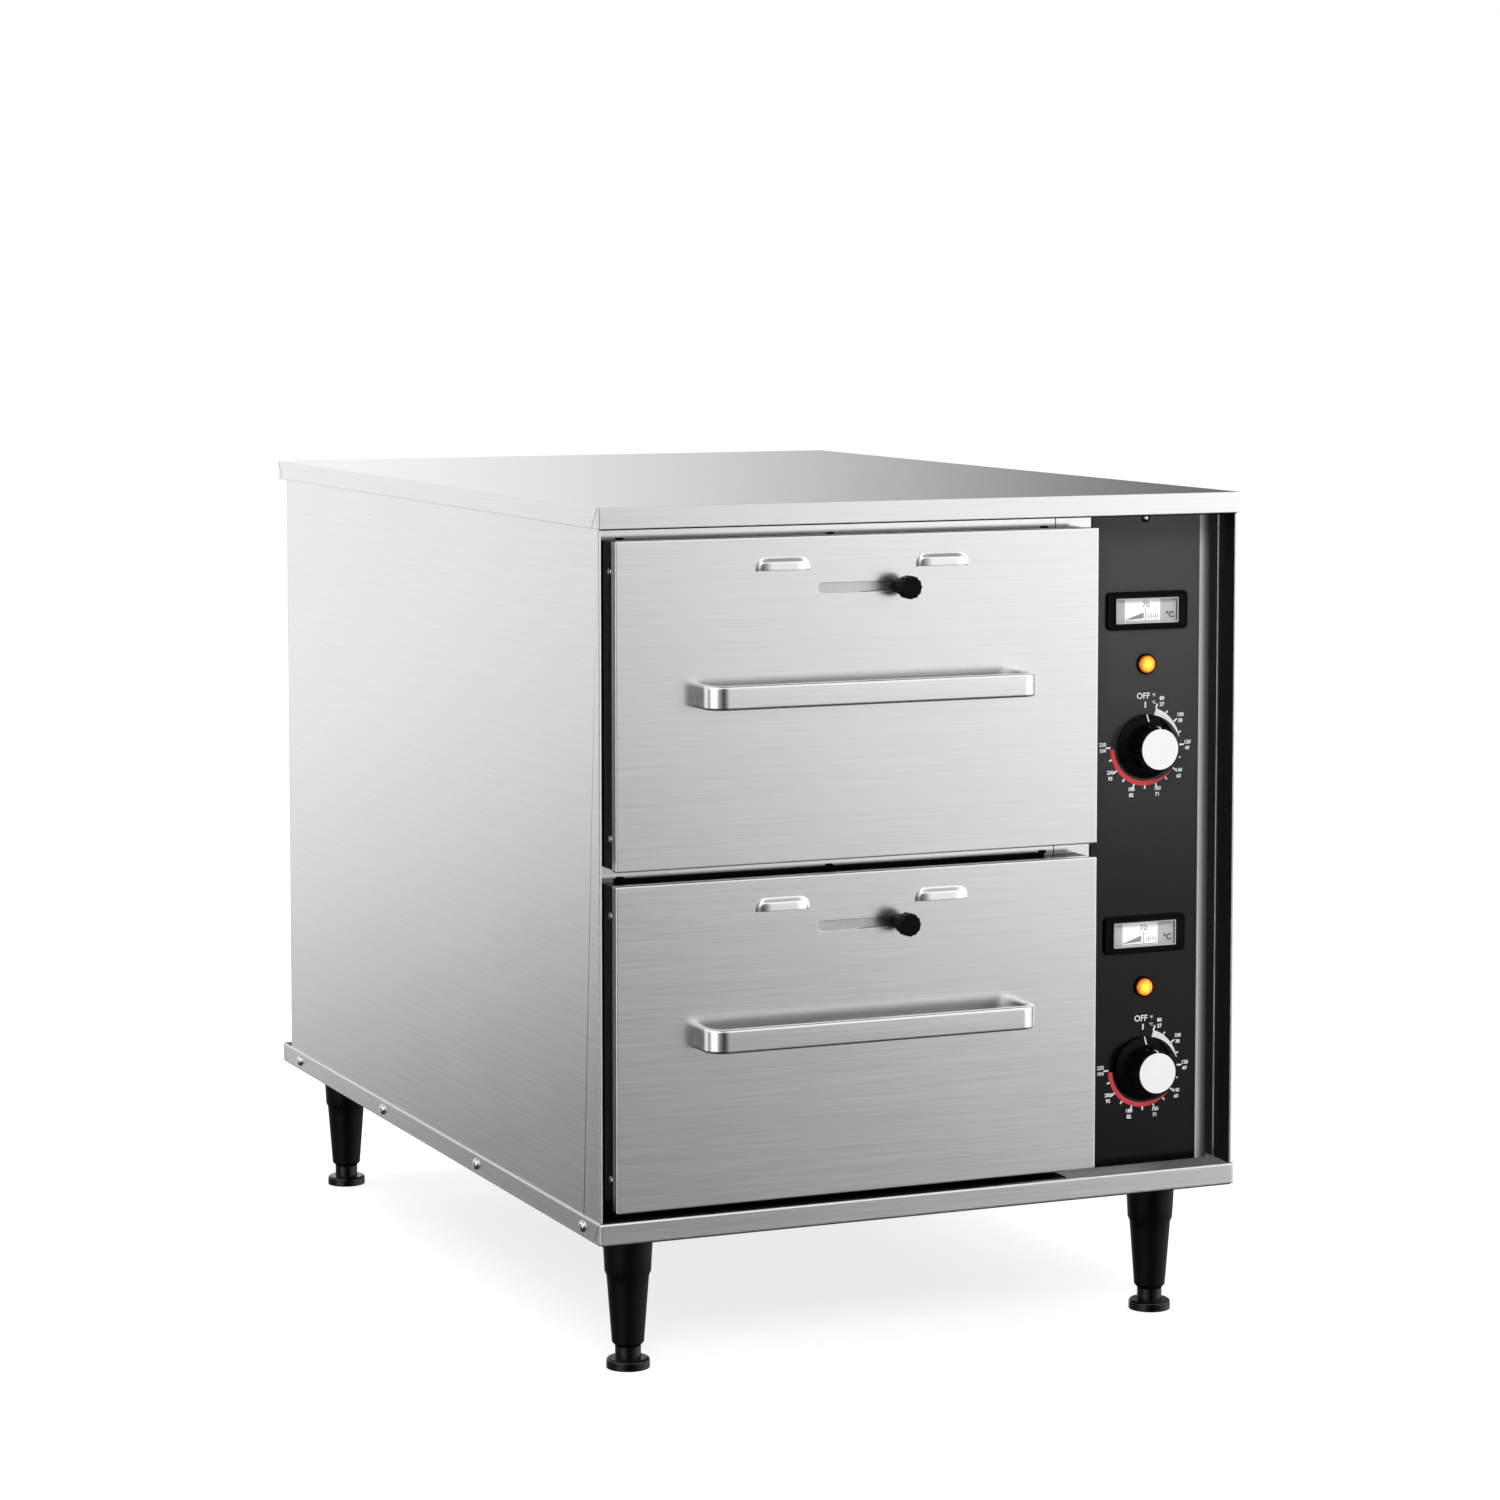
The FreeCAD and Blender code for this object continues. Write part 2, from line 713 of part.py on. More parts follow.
def skin_rear():
    """The liner's edge: behind the vent plate and its rails."""
    return skin_inner + vent_plate_gap * 2 + vent_plate_thick + sheet


def front_screw_places(top):
    places = []
    for z in (top - front_screw_end, top - front_height + front_screw_end):
        places.append((front_left + sheet, z, -1))
        places.append((front_right - sheet, z, 1))
    return places


def front_screw_shank(x, z, side):
    low, high = sorted((x, x - side * (front_screw_head + sheet)))
    return cylinder_x(face_y + front_screw_depth, z, front_screw_radius / 2, low, high)


def vent_rails(top):
    """Two lipped strips behind the skin, which hold the vent plate."""
    x0, x1, z0, z1 = vent_plate_span(top)
    x0 -= vent_travel
    y1 = skin_inner + vent_plate_gap * 2 + vent_plate_thick
    rails = []
    for z, side in ((z1 + vent_plate_gap, 1), (z0 - vent_plate_gap, -1)):
        low, high = sorted((z, z + side * sheet))
        stand = box(x0, x1, skin_inner, y1 + sheet, low, high)
        low, high = sorted((z - side * rail_lip, z + side * sheet))
        rails.append(stand.fuse(box(x0, x1, y1, y1 + sheet, low, high)))
    return rails


def knob_rest_x():
    return drawer_x + slot_length / 2 - slot_height / 2 - (slot_length - slot_height - vent_travel) / 2


def build_vent(name, top):
    x0, x1, z0, z1 = vent_plate_span(top)
    y0 = skin_inner + vent_plate_gap
    plate = box(x0, x1, y0, y0 + vent_plate_thick, z0, z1)
    for x, z in louvre_places(top):
        window_x = x + vent_travel
        window = capsule_y(window_x, z, louvre_width, louvre_height, y0, y0 + vent_plate_thick)
        plate = plate.cut(window)
    x = knob_rest_x()
    z = vent_z(top)
    plate = plate.cut(cylinder_y(x, z, vent_stem_radius / 2, y0, y0 + vent_plate_thick))
    place(name + "_vent_plate", plate)

    nose = face_y - vent_reach
    neck = nose + vent_head_length
    chamfer = vent_head_radius / 8
    outline = [
        (0, nose),
        (vent_head_radius - chamfer, nose),
        (vent_head_radius, nose + chamfer),
        (vent_head_radius, neck - chamfer),
        (vent_head_radius - chamfer, neck),
        (vent_neck_radius, neck),
        (vent_neck_radius, face_y - sheet / 2),
        (vent_stem_radius, face_y - sheet / 2),
        (vent_stem_radius, y0),
        (vent_stem_radius / 2, y0),
        (vent_stem_radius / 2, y0 + vent_plate_thick),
        (0, y0 + vent_plate_thick),
    ]
    knob = turned_y(x, z, outline)
    knob = scalloped(knob, x, z, vent_head_radius, vent_lobes, vent_lobe_depth, nose, neck)
    place(name + "_vent_knob", knob)


def build_handle(name, top):
    x0 = drawer_x - handle_length / 2
    x1 = x0 + handle_length
    z0 = top - handle_drop - handle_height / 2
    z1 = z0 + handle_height
    y0 = cap_front - handle_proud
    bar = box(x0, x1, y0, face_y, z0, z1)
    outer_edges = [e for e in edges_along(bar, Vector(0, 0, 1)) if e.BoundBox.YMax < y0 + 1e-6]
    bar = bar.makeFillet(handle_bend_radius, outer_edges)
    gap = box(x0 + handle_thick, x1 - handle_thick, y0 + handle_thick, face_y, z0, z1)
    inner_edges = [e for e in edges_along(gap, Vector(0, 0, 1)) if e.BoundBox.YMax < y0 + handle_thick + 1e-6]
    gap = gap.makeFillet(handle_bend_radius - handle_thick, inner_edges)
    place(name + "_handle", bar.cut(gap))


def build_controls(name, level):
    z = level - thermometer_drop
    half = bezel_width / 2
    rise = bezel_height / 2
    front = panel_face - bezel_rise
    bezel = rounded_y(control_x - half, control_x + half, front, panel_face, z - rise, z + rise, bezel_radius)
    case_half = case_width / 2
    case_rise = case_height / 2
    back = panel_face + case_depth
    bezel = bezel.fuse(box(control_x - case_half, control_x + case_half, panel_face, back, z - case_rise, z + case_rise))
    win_half = window_width / 2
    win_rise = window_height / 2
    window = rounded_y(control_x - win_half, control_x + win_half, front, back - sheet, z - win_rise, z + win_rise,
                       window_radius)
    place(name + "_thermometer_bezel", bezel.cut(window).removeSplitter())

    lens_front = front + lens_inset
    lens = rounded_y(control_x - win_half, control_x + win_half, lens_front, lens_front + lens_thick,
                     z - win_rise, z + win_rise, window_radius)
    place(name + "_thermometer_lens", lens)
    card_front = lens_front + lens_thick + card_gap
    card = rounded_y(control_x - win_half, control_x + win_half, card_front, card_front + card_thick,
                     z - win_rise, z + win_rise, window_radius)
    place(name + "_thermometer_card", card)

    z = level - lamp_drop
    ring_front = panel_face - lamp_ring_rise
    holder = cylinder_y(control_x, z, lamp_ring_radius, ring_front, panel_face)
    holder = holder.fuse(cylinder_y(control_x, z, lamp_barrel_radius, panel_face, panel_face + lamp_barrel_depth))
    lens_back = ring_front + lamp_lens_depth
    seat_radius = lamp_barrel_radius - sheet
    holder = holder.cut(cylinder_y(control_x, z, seat_radius, ring_front, panel_face + lamp_barrel_depth - sheet))
    holder = holder.cut(cylinder_y(control_x, z, lamp_lens_radius, ring_front, ring_front + sheet))
    place(name + "_lamp_holder", holder.removeSplitter())
    crown = lamp_lens_rise / 2
    outline = [
        (0, ring_front - lamp_lens_rise + lamp_ring_rise),
        (lamp_lens_radius - crown, ring_front - lamp_lens_rise + lamp_ring_rise),
        (lamp_lens_radius, ring_front - lamp_lens_rise + lamp_ring_rise + crown),
        (lamp_lens_radius, ring_front + sheet),
        (seat_radius, ring_front + sheet),
        (seat_radius, lens_back),
        (0, lens_back),
    ]
    place(name + "_lamp_lens", turned_y(control_x, z, outline))


def build_thermostat(name, level):
    z = level - dial_drop
    half = thermostat_size / 2
    back = frame_front + thermostat_depth
    body = rounded_y(control_x - half, control_x + half, frame_front, back, z - half, z + half, bezel_radius)
    body = body.fuse(cylinder_y(control_x, z, bush_radius, frame_front - bush_length, frame_front))
    bulb_x = drawer_x + opening_half - bulb_wall_gap - bulb_radius
    body = body.fuse(cylinder_x(capillary_y(), z, capillary_radius, bulb_x, control_x - half))
    body = body.fuse(cylinder_y(bulb_x, z, bulb_radius, capillary_y(), capillary_y() + bulb_length))
    bore_end = frame_front + spindle_depth + sheet
    bore = cylinder_y(control_x, z, spindle_radius + running_gap, frame_front - bush_length, bore_end)
    place(name + "_thermostat", body.cut(bore).removeSplitter())

    skirt_back = panel_face - knob_gap
    nose = panel_face - knob_reach
    spindle_front = nose + knob_reach - knob_gap - spindle_into_knob
    spindle = cylinder_y(control_x, z, spindle_radius, spindle_front, frame_front + spindle_depth)
    place(name + "_thermostat_spindle", spindle)

    skirt_front = skirt_back - skirt_thick
    edge = skirt_thick / 3
    outline = [
        (0, nose),
        (grip_radius - edge / 2, nose),
        (grip_radius, nose + edge / 2),
        (grip_radius, skirt_front),
        (skirt_top_radius, skirt_front),
        (skirt_radius, skirt_back - edge),
        (skirt_radius, skirt_back),
        (bush_radius + knob_gap, skirt_back),
        (bush_radius + knob_gap, skirt_back - bush_length),
        (spindle_radius, skirt_back - bush_length),
        (spindle_radius, spindle_front),
        (0, spindle_front),
    ]
    knob = turned_y(control_x, z, outline)
    knob = scalloped(knob, control_x, z, grip_radius, grip_lobes, grip_lobe_depth, nose, skirt_front)
    disc_back = nose + face_disc_thick
    knob = knob.cut(cylinder_y(control_x, z, face_disc_radius, nose, disc_back))
    place(name + "_thermostat_knob", knob)
    disc = cylinder_y(control_x, z, face_disc_radius, nose - face_disc_proud, disc_back)
    place(name + "_knob_face", disc)


def build_legs():
    foot_names = ("front_left_foot", "front_right_foot", "rear_left_foot", "rear_right_foot")
    legs = []
    collar_z = base_bottom - leg_collar
    for name, (x, y) in zip(foot_names, leg_places()):
        outline = [
            (0, leg_bottom),
            (neck_radius, leg_bottom),
            (leg_bottom_radius, leg_taper_end),
            (leg_shank_radius, collar_z - leg_collar_step),
            (leg_collar_radius, collar_z),
            (leg_top_radius, base_bottom),
            (plate_bolt_radius, base_bottom),
            (plate_bolt_radius, base_floor),
            (0, base_floor),
        ]
        leg = turned_z(x, y, outline)
        bore_end = leg_bottom + stud_length + stud_hole_end_gap
        leg = leg.cut(cylinder_z(x, y, stud_radius + running_gap, leg_bottom, bore_end))
        legs.append(leg)
        foot = cylinder_z(x, y, foot_radius, 0, foot_thick)
        top_edges = [e for e in foot.Edges if e.BoundBox.ZMin > foot_thick - 1e-6]
        foot = foot.makeFillet(foot_edge_radius, top_edges)
        foot = foot.fuse(cylinder_z(x, y, neck_radius, foot_thick, leg_bottom - neck_gap))
        foot = foot.fuse(cylinder_z(x, y, stud_radius, leg_bottom - neck_gap, leg_bottom + stud_length))
        place(name, foot.removeSplitter())
    place("legs", Part.makeCompound(legs))


def build_fasteners():
    screws = []
    for side in (-1, 1):
        for y, z in base_screw_places():
            seat = side * half_width
            low, high = sorted((seat, seat + side * screw_head_height))
            head = cylinder_x(y, z, screw_head_radius, low, high)
            low, high = sorted((seat - side * screw_shank_length, seat))
            screws.append(head.fuse(cylinder_x(y, z, screw_shank_radius, low, high)))
        for z in rear_screw_places():
            x = side * rear_screw_x()
            seat = rear_face + sheet
            head = cylinder_y(x, z, screw_head_radius, seat, seat + screw_head_height)
            screws.append(head.fuse(cylinder_y(x, z, screw_shank_radius, seat - screw_shank_length, seat)))
    place("cabinet_screws", Part.makeCompound(screws))

    x = gland_x()
    z = gland_z()
    outside = rear_face + sheet
    gland = cylinder_y(x, z, gland_radius, rear_inner, outside)
    gland = gland.fuse(cylinder_y(x, z, gland_flange_radius, outside, outside + gland_flange))
    nose = [
        (0, outside + gland_flange),
        (gland_radius, outside + gland_flange),
        (gland_radius * 0.8, outside + gland_nose),
        (0, outside + gland_nose),
    ]
    gland = gland.fuse(turned_y(x, z, nose))
    gland = gland.fuse(cylinder_y(x, z, gland_flange_radius, rear_face - gland_nut, rear_face))
    gland = gland.cut(cylinder_y(x, z, gland_bore, rear_face - gland_nut, outside + gland_nose))
    place("cord_gland", gland.removeSplitter())

    y0 = rear_inner - terminal_wall_gap - terminal_depth
    half = terminal_width / 2
    block = box(x - half, x + half, y0, y0 + terminal_depth, base_floor, base_floor + terminal_height)
    for place_x in spaced(x - half + terminal_width / 10, x + half - terminal_width / 10, terminal_ways):
        for y in (y0 + terminal_depth / 4, y0 + terminal_depth * 3 / 4):
            top = base_floor + terminal_height
            block = block.cut(cylinder_z(place_x, y, terminal_width / 16, top - terminal_height / 3, top))
    place("terminal_block", block)


def main():
    build_shell()
    build_face_frame()
    build_liners()
    build_insulation()
    build_slides()
    for name, top in levels.items():
        build_drawer_front(name, top)
        build_vent(name, top)
        build_handle(name, top)
        build_carriage(name, top)
        build_controls(name, top)
        build_thermostat(name, top)
    build_legs()
    build_fasteners()
    os.makedirs("parts", exist_ok=True)
    for name, shape in nodes.items():
        shape.exportStep("parts/" + name + ".step")


main()
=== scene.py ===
import math

import bmesh
import bpy
from mathutils import Matrix, Vector


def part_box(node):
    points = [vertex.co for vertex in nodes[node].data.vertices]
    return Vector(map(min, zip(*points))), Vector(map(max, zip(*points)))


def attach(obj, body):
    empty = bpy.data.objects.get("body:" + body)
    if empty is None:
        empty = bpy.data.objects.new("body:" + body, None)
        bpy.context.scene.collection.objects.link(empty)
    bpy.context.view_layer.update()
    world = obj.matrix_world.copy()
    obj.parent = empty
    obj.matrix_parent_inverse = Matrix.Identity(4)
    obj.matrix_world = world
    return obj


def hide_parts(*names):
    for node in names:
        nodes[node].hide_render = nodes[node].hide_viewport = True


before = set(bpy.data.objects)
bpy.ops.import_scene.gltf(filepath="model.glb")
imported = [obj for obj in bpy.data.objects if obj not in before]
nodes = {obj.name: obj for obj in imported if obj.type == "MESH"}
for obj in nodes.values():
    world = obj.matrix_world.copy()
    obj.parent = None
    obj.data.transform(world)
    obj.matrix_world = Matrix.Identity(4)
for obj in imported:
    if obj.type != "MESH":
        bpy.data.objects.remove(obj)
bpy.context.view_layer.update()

scene = bpy.context.scene
MM = 0.001
# Turns what lies flat to face the front.
UPRIGHT = Matrix.Rotation(math.pi / 2, 4, "X")
# The signs of a square's corners.
SQUARE = ((-1, -1), (1, -1), (1, 1), (-1, 1))
# Corners of the exported solids that lie nearer than this are one corner, in metres.
WELD = 0.002 * MM


def span(node):
    """A CAD node's box corners, in millimetres."""
    low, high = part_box(node)
    return low / MM, high / MM


def middle(node):
    low, high = span(node)
    return (low + high) / 2


# The thickness of sheet and of print, how far the drawer fronts stand behind the cap's front edge, and
# where things are in the CAD model, all in millimetres.
SHEET = 1.0
INK = 0.05
FACE_SET_BACK = 1.0
CONTROL_X = middle("control_panel").x
PANEL_FACE = span("control_panel")[0].y
FRAME_FACE = span("control_panel")[1].y
DRAWER_X = middle("upper_drawer_front").x
FACE_Y = span("top_cap")[0].y + FACE_SET_BACK
# A pilot lamp's lens, and how far apart its shaded ribs are.
LENS_RADIUS, LENS_SHADE_PITCH = 6.2, 1.55
BOTH = ("upper", "lower")


# ------ node helpers


def settle(thing, **settings):
    for key, value in settings.items():
        setattr(thing, key, value)
    return thing


def link(source, socket):
    socket.id_data.links.new(source, socket)


def feed(thing, inputs):
    """Joins or sets a node's inputs, given by name or number."""
    for key, value in inputs.items():
        if isinstance(value, bpy.types.NodeSocket):
            link(value, thing.inputs[key])
        else:
            thing.inputs[key].default_value = value


def add(tree, kind, inputs={}, **settings):
    made = settle(tree.nodes.new(kind), **settings)
    feed(made, inputs)
    return made


def math_node(tree, operation, first, second=None):
    inputs = {0: first} if second is None else {0: first, 1: second}
    return add(tree, "ShaderNodeMath", inputs, operation=operation).outputs[0]


def times(tree, first, second):
    return math_node(tree, "MULTIPLY", first, second)


def plus(tree, first, second):
    return math_node(tree, "ADD", first, second)


def weighed(tree, *parts):
    """The sum of the (value, weight) parts."""
    total = None
    for value, weight in parts:
        part = times(tree, value, weight)
        total = part if total is None else plus(tree, total, part)
    return total


def axes(tree, vector):
    """A vector's X, Y and Z."""
    return add(tree, "ShaderNodeSeparateXYZ", {0: vector}).outputs


def position(tree):
    return add(tree, "ShaderNodeTexCoord").outputs["Object"]


def noise(tree, scale, detail=3.0, rough=0.5, vector=None):
    """Noise over the object's own coordinates, or over a vector."""
    inputs = {"Vector": vector or position(tree), "Scale": scale, "Detail": detail, "Roughness": rough}
    return add(tree, "ShaderNodeTexNoise", inputs).outputs["Fac"]


def spread(tree, factor, low, high, start=0.3, end=0.7):
    """The factor's range from start to end, as the range from low to high."""
    inputs = {"Value": factor, "From Min": start, "From Max": end, "To Min": low, "To Max": high}
    return add(tree, "ShaderNodeMapRange", inputs).outputs["Result"]


def ramp(tree, factor, stops):
    made = add(tree, "ShaderNodeValToRGB")
    elements = made.color_ramp.elements
    while len(elements) < len(stops):
        elements.new(0.5)
    for element, (place, colour) in zip(elements, stops):
        element.position = place
        if isinstance(colour, (int, float)):
            colour = (colour,) * 3
        element.color = (*colour, 1.0)
    link(factor, made.inputs["Fac"])
    return made.outputs["Color"]


def shades(tree, factor, colour, dark, pale, start=0.3, end=0.7):
    """The colour times dark up to the factor's start, and times pale from its end."""
    stops = []
    for place, scale in ((start, dark), (end, pale)):
        stops.append((place, tuple(min(1.0, channel * scale) for channel in colour)))
    return ramp(tree, factor, stops)


def bump(tree, height, distance, edge_radius=0.0):
    inputs = {"Height": height, "Distance": distance}
    if edge_radius:
        rounded = add(tree, "ShaderNodeBevel", {"Radius": edge_radius}, samples=4)
        inputs["Normal"] = rounded.outputs["Normal"]
    return add(tree, "ShaderNodeBump", inputs).outputs["Normal"]


def surface_of(name, metallic=0.0, specular=0.5):
    """A new material with one Principled shader, as (material, its tree, the shader)."""
    made = bpy.data.materials.new(name)
    made.use_nodes = True
    tree = made.node_tree
    shader = next(n for n in tree.nodes if n.type == "BSDF_PRINCIPLED")
    feed(shader, {"Metallic": metallic, "Specular IOR Level": specular})
    return made, tree, shader


def plug(shader, tint, rough, **others):
    """Gives a shader its colour, its roughness and its other inputs."""
    feed(shader, {"Base Color": tint, "Roughness": rough, **others})


# ------ materials


def grain_vector(tree, density, along):
    """Coordinates that run fast across the brushing lines and slowly along them: the lines are level on
    upright sheets and run left to right on level ones."""
    coordinates = add(tree, "ShaderNodeTexCoord")
    place = axes(tree, coordinates.outputs["Object"])
    facing = axes(tree, coordinates.outputs["Normal"])
    level = math_node(tree, "GREATER_THAN", math_node(tree, "ABSOLUTE", facing["Z"]), 0.7)
    upright = math_node(tree, "SUBTRACT", 1.0, level)
    across = weighed(tree, (place["Z"], upright), (place["Y"], level))
    slow_x = times(tree, place["X"], along)
    slow_y = times(tree, times(tree, place["Y"], upright), along)
    inputs = {"X": slow_x, "Y": slow_y, "Z": times(tree, across, density)}
    return add(tree, "ShaderNodeCombineXYZ", inputs).outputs[0]


def brushed_steel(name, colour, roughness, edge=0.0):
    """Sheet steel with fine level brushing lines, and soft folds of radius edge along its corners."""
    made, tree, shader = surface_of(name, metallic=1.0)
    fine = noise(tree, 1.0, 5.0, 0.6, grain_vector(tree, 900.0, 11.0))
    lines = noise(tree, 1.0, 5.0, 0.65, grain_vector(tree, 260.0, 4.0))
    broad = noise(tree, 4.5, rough=0.55)
    shade = weighed(tree, (fine, 0.6), (lines, 0.2), (broad, 0.2))
    tint = shades(tree, shade, colour, 0.94, 1.055, 0.36, 0.64)
    rough = spread(tree, shade, roughness - 0.025, roughness + 0.035)
    plug(shader, tint, rough, Normal=bump(tree, fine, 4e-6, edge))
    return made


def fine_metal(name, colour, roughness, scale=900.0, relief=1e-5):
    """Plated or cast metal with a fine even texture and slow cloudy changes."""
    made, tree, shader = surface_of(name, metallic=1.0)
    fine = noise(tree, scale)
    cloud = noise(tree, 30.0, detail=4.0, rough=0.6)
    rough = spread(tree, cloud, roughness - 0.05, roughness + 0.07)
    plug(shader, shades(tree, cloud, colour, 0.86, 1.06), rough, Normal=bump(tree, fine, relief))
    return made


def coated(name, colour, roughness, scale, relief, specular=0.5, contrast=0.1):
    """Paint, powder coat or moulded plastic: even colour with a fine texture."""
    made, tree, shader = surface_of(name, specular=specular)
    fine = noise(tree, scale, detail=2.0)
    broad = noise(tree, 9.0)
    shade = weighed(tree, (fine, 0.5), (broad, 0.5))
    tint = shades(tree, shade, colour, 1.0 - contrast, 1.0 + contrast)
    rough = spread(tree, shade, roughness - 0.03, roughness + 0.05)
    plug(shader, tint, rough, Normal=bump(tree, fine, relief))
    return made


def ink(name, colour, contrast, roughness=0.6):
    return coated(name, colour, roughness, 1500.0, 3e-6, contrast=contrast)


def panel_paint(name):
    """Satin black paint with painted light: a little greyer towards the top of the panel, where more light
    falls on it.
    """
    made, tree, shader = surface_of(name, specular=0.3)
    # Painted light: the colour goes from near black low on the panel to grey at its top.
    rise = spread(tree, axes(tree, position(tree))["Z"], 0.0, 1.0, 0.12, 0.6)
    fine = noise(tree, 1100.0, detail=2.0)
    cloud = plus(tree, rise, spread(tree, fine, -0.08, 0.08))
    tint = ramp(tree, cloud, [(0.0, 0.0006), (0.4, 0.002), (0.6, 0.02), (0.85, 0.047), (1.0, 0.052)])
    plug(shader, tint, spread(tree, fine, 0.14, 0.19), Normal=bump(tree, fine, 2e-6))
    return made


def clear_plastic(name):
    """Clear sheet that lets lamp light through to what lies behind it."""
    made, tree, shader = surface_of(name)
    feed(shader, {"Transmission Weight": 1.0, "IOR": 1.45})
    haze = noise(tree, 60.0, detail=2.0)
    plug(shader, ramp(tree, haze, [(0.3, 0.96), (0.7, 1.0)]), spread(tree, haze, 0.02, 0.05))
    output = next(n for n in tree.nodes if n.type == "OUTPUT_MATERIAL")
    through = add(tree, "ShaderNodeBsdfTransparent")
    shadow = add(tree, "ShaderNodeLightPath").outputs["Is Shadow Ray"]
    mix = add(tree, "ShaderNodeMixShader", {0: shadow, 1: shader.outputs[0], 2: through.outputs[0]})
    link(mix.outputs[0], output.inputs["Surface"])
    return made


def lit_amber(name):
    """Lit amber lens: yellow in the middle, deep orange towards the rim, with upright ribs."""
    made, tree, shader = surface_of(name)
    place = axes(tree, position(tree))
    square = weighed(tree, (place["X"], place["X"]), (place["Z"], place["Z"]))
    radius = times(tree, math_node(tree, "SQRT", square), 1.0 / (LENS_RADIUS * MM))
    cloud = noise(tree, 500.0)
    radius = plus(tree, radius, spread(tree, cloud, -0.06, 0.06))
    ribs = math_node(tree, "COSINE", times(tree, place["X"], 2 * math.pi / (LENS_SHADE_PITCH * MM)))
    radius = plus(tree, radius, spread(tree, ribs, 0.12, -0.12, -1.0, 1.0))
    stops = (
        (0.0, (1.0, 0.74, 0.1)),
        (0.5, (1.0, 0.56, 0.045)),
        (0.82, (0.88, 0.3, 0.015)),
        (1.0, (0.6, 0.07, 0.004)),
    )
    glow = ramp(tree, radius, stops)
    plug(shader, glow, 0.2, **{"Emission Color": glow, "Emission Strength": 0.62})
    return made


def spun_disc(name):
    """Light metal face of a knob, turned on a lathe."""
    made, tree, shader = surface_of(name, metallic=0.1)
    fine = noise(tree, 1400.0)
    tint = ramp(tree, fine, [(0.3, 0.93), (0.7, 0.99)])
    plug(shader, tint, spread(tree, fine, 0.3, 0.42), Normal=bump(tree, fine, 6e-6))
    return made


STEEL = (0.8, 0.8, 0.805)
BLACK = (0.002, 0.002, 0.0021)
LEG_BLACK = (0.002, 0.002, 0.0022)
materials = {
    "stainless": brushed_steel("brushed_stainless", STEEL, 0.24, edge=0.9 * MM),
    "stainless_inner": brushed_steel("inner_stainless", (0.66, 0.66, 0.665), 0.32),
    "black_enamel": coated("black_powder_coat", BLACK, 0.42, 1100.0, 6e-6, specular=0.2),
    "black_plastic": coated(
        "black_moulded_plastic", (0.003, 0.003, 0.0032), 0.26, 1500.0, 4e-6, specular=0.05
    ),
    "clear_lens": clear_plastic("clear_window"),
    "dial_card": coated("grey_dial_card", (0.42, 0.43, 0.44), 0.6, 900.0, 4e-6, contrast=0.05),
    "amber_lens": lit_amber("amber_lens_glow"),
    "knob_disc": spun_disc("knob_face_metal"),
    "heater_tube": fine_metal("heater_tube_metal", (0.3, 0.27, 0.25), 0.45),
    "insulation": coated(
        "mineral_wool", (0.52, 0.47, 0.36), 0.95, 260.0, 0.0012, specular=0.1, contrast=0.3
    ),
    "zinc_steel": fine_metal("zinc_plated_steel", (0.68, 0.68, 0.685), 0.3, scale=420.0),
    "thermostat_metal": fine_metal("thermostat_body_metal", (0.55, 0.55, 0.54), 0.4),
    "black_legs": coated("black_leg_plastic", LEG_BLACK, 0.4, 1300.0, 6e-6, specular=0.16),
    "foot_black": coated("black_foot_plastic", LEG_BLACK, 0.2, 1300.0, 4e-6, specular=0.35),
    "screw_steel": fine_metal("bright_screw_steel", (0.82, 0.82, 0.83), 0.2, 1600.0, 3e-6),
    "terminal_plastic": coated(
        "terminal_plastic", (0.75, 0.73, 0.68), 0.45, 900.0, 6e-6, contrast=0.04
    ),
}
# Black for strips that paint shade on the face frame, below the cap and along the base tray.
black_strips_painted_shade = coated("black_painted_shade_strips", BLACK, 0.6, 900.0, 1e-5, specular=0.12)
pale_rim = coated("pale_window_rim", (0.58, 0.58, 0.58), 0.35, 1200.0, 3e-6, contrast=0.05)
# A pale colour that paints the highlight on the base tray's top fold.
painted_fold_highlight = coated("painted_fold_highlight", (0.88, 0.88, 0.885), 0.3, 1200.0, 3e-6, contrast=0.05)
white_ink = ink("white_ink", (0.95, 0.95, 0.95), 0.04, 0.5)
red_ink = ink("red_ink", (0.74, 0.045, 0.055), 0.06, 0.5)
dark_ink = ink("dark_ink", (0.05, 0.05, 0.052), 0.1)
maroon_ink = ink("maroon_ink", (0.09, 0.004, 0.013), 0.1)
grey_ink = ink("grey_ink", (0.2, 0.2, 0.21), 0.1)
seam_dark = ink("seam_shadow", (0.09, 0.09, 0.092), 0.15)


# ------ the CAD nodes' dress


def smooth_by_angle(limit):
    """A modifier's node group that shades faces smooth and keeps edges sharper than limit degrees sharp."""
    group = bpy.data.node_groups.new("smooth_by_angle", "GeometryNodeTree")
    for way in ("INPUT", "OUTPUT"):
        group.interface.new_socket("Geometry", in_out=way, socket_type="NodeSocketGeometry")
    start = add(group, "NodeGroupInput").outputs[0]
    faces = add(group, "GeometryNodeSetShadeSmooth", {"Geometry": start}, domain="FACE").outputs[0]
    angle = add(group, "GeometryNodeInputMeshEdgeAngle").outputs["Unsigned Angle"]
    sharp = math_node(group, "GREATER_THAN", angle, math.radians(limit))
    inputs = {"Geometry": faces, "Selection": sharp, "Shade Smooth": False}
    edges = add(group, "GeometryNodeSetShadeSmooth", inputs, domain="EDGE")
    add(group, "NodeGroupOutput", {0: edges.outputs[0]})
    return group


smoothing = smooth_by_angle(32.0)


def smooth(obj):
    settle(obj.modifiers.new("smooth", "NODES"), node_group=smoothing)


def even_shading(obj):
    settle(obj.modifiers.new("even_shading", "WEIGHTED_NORMAL"), keep_sharp=True)


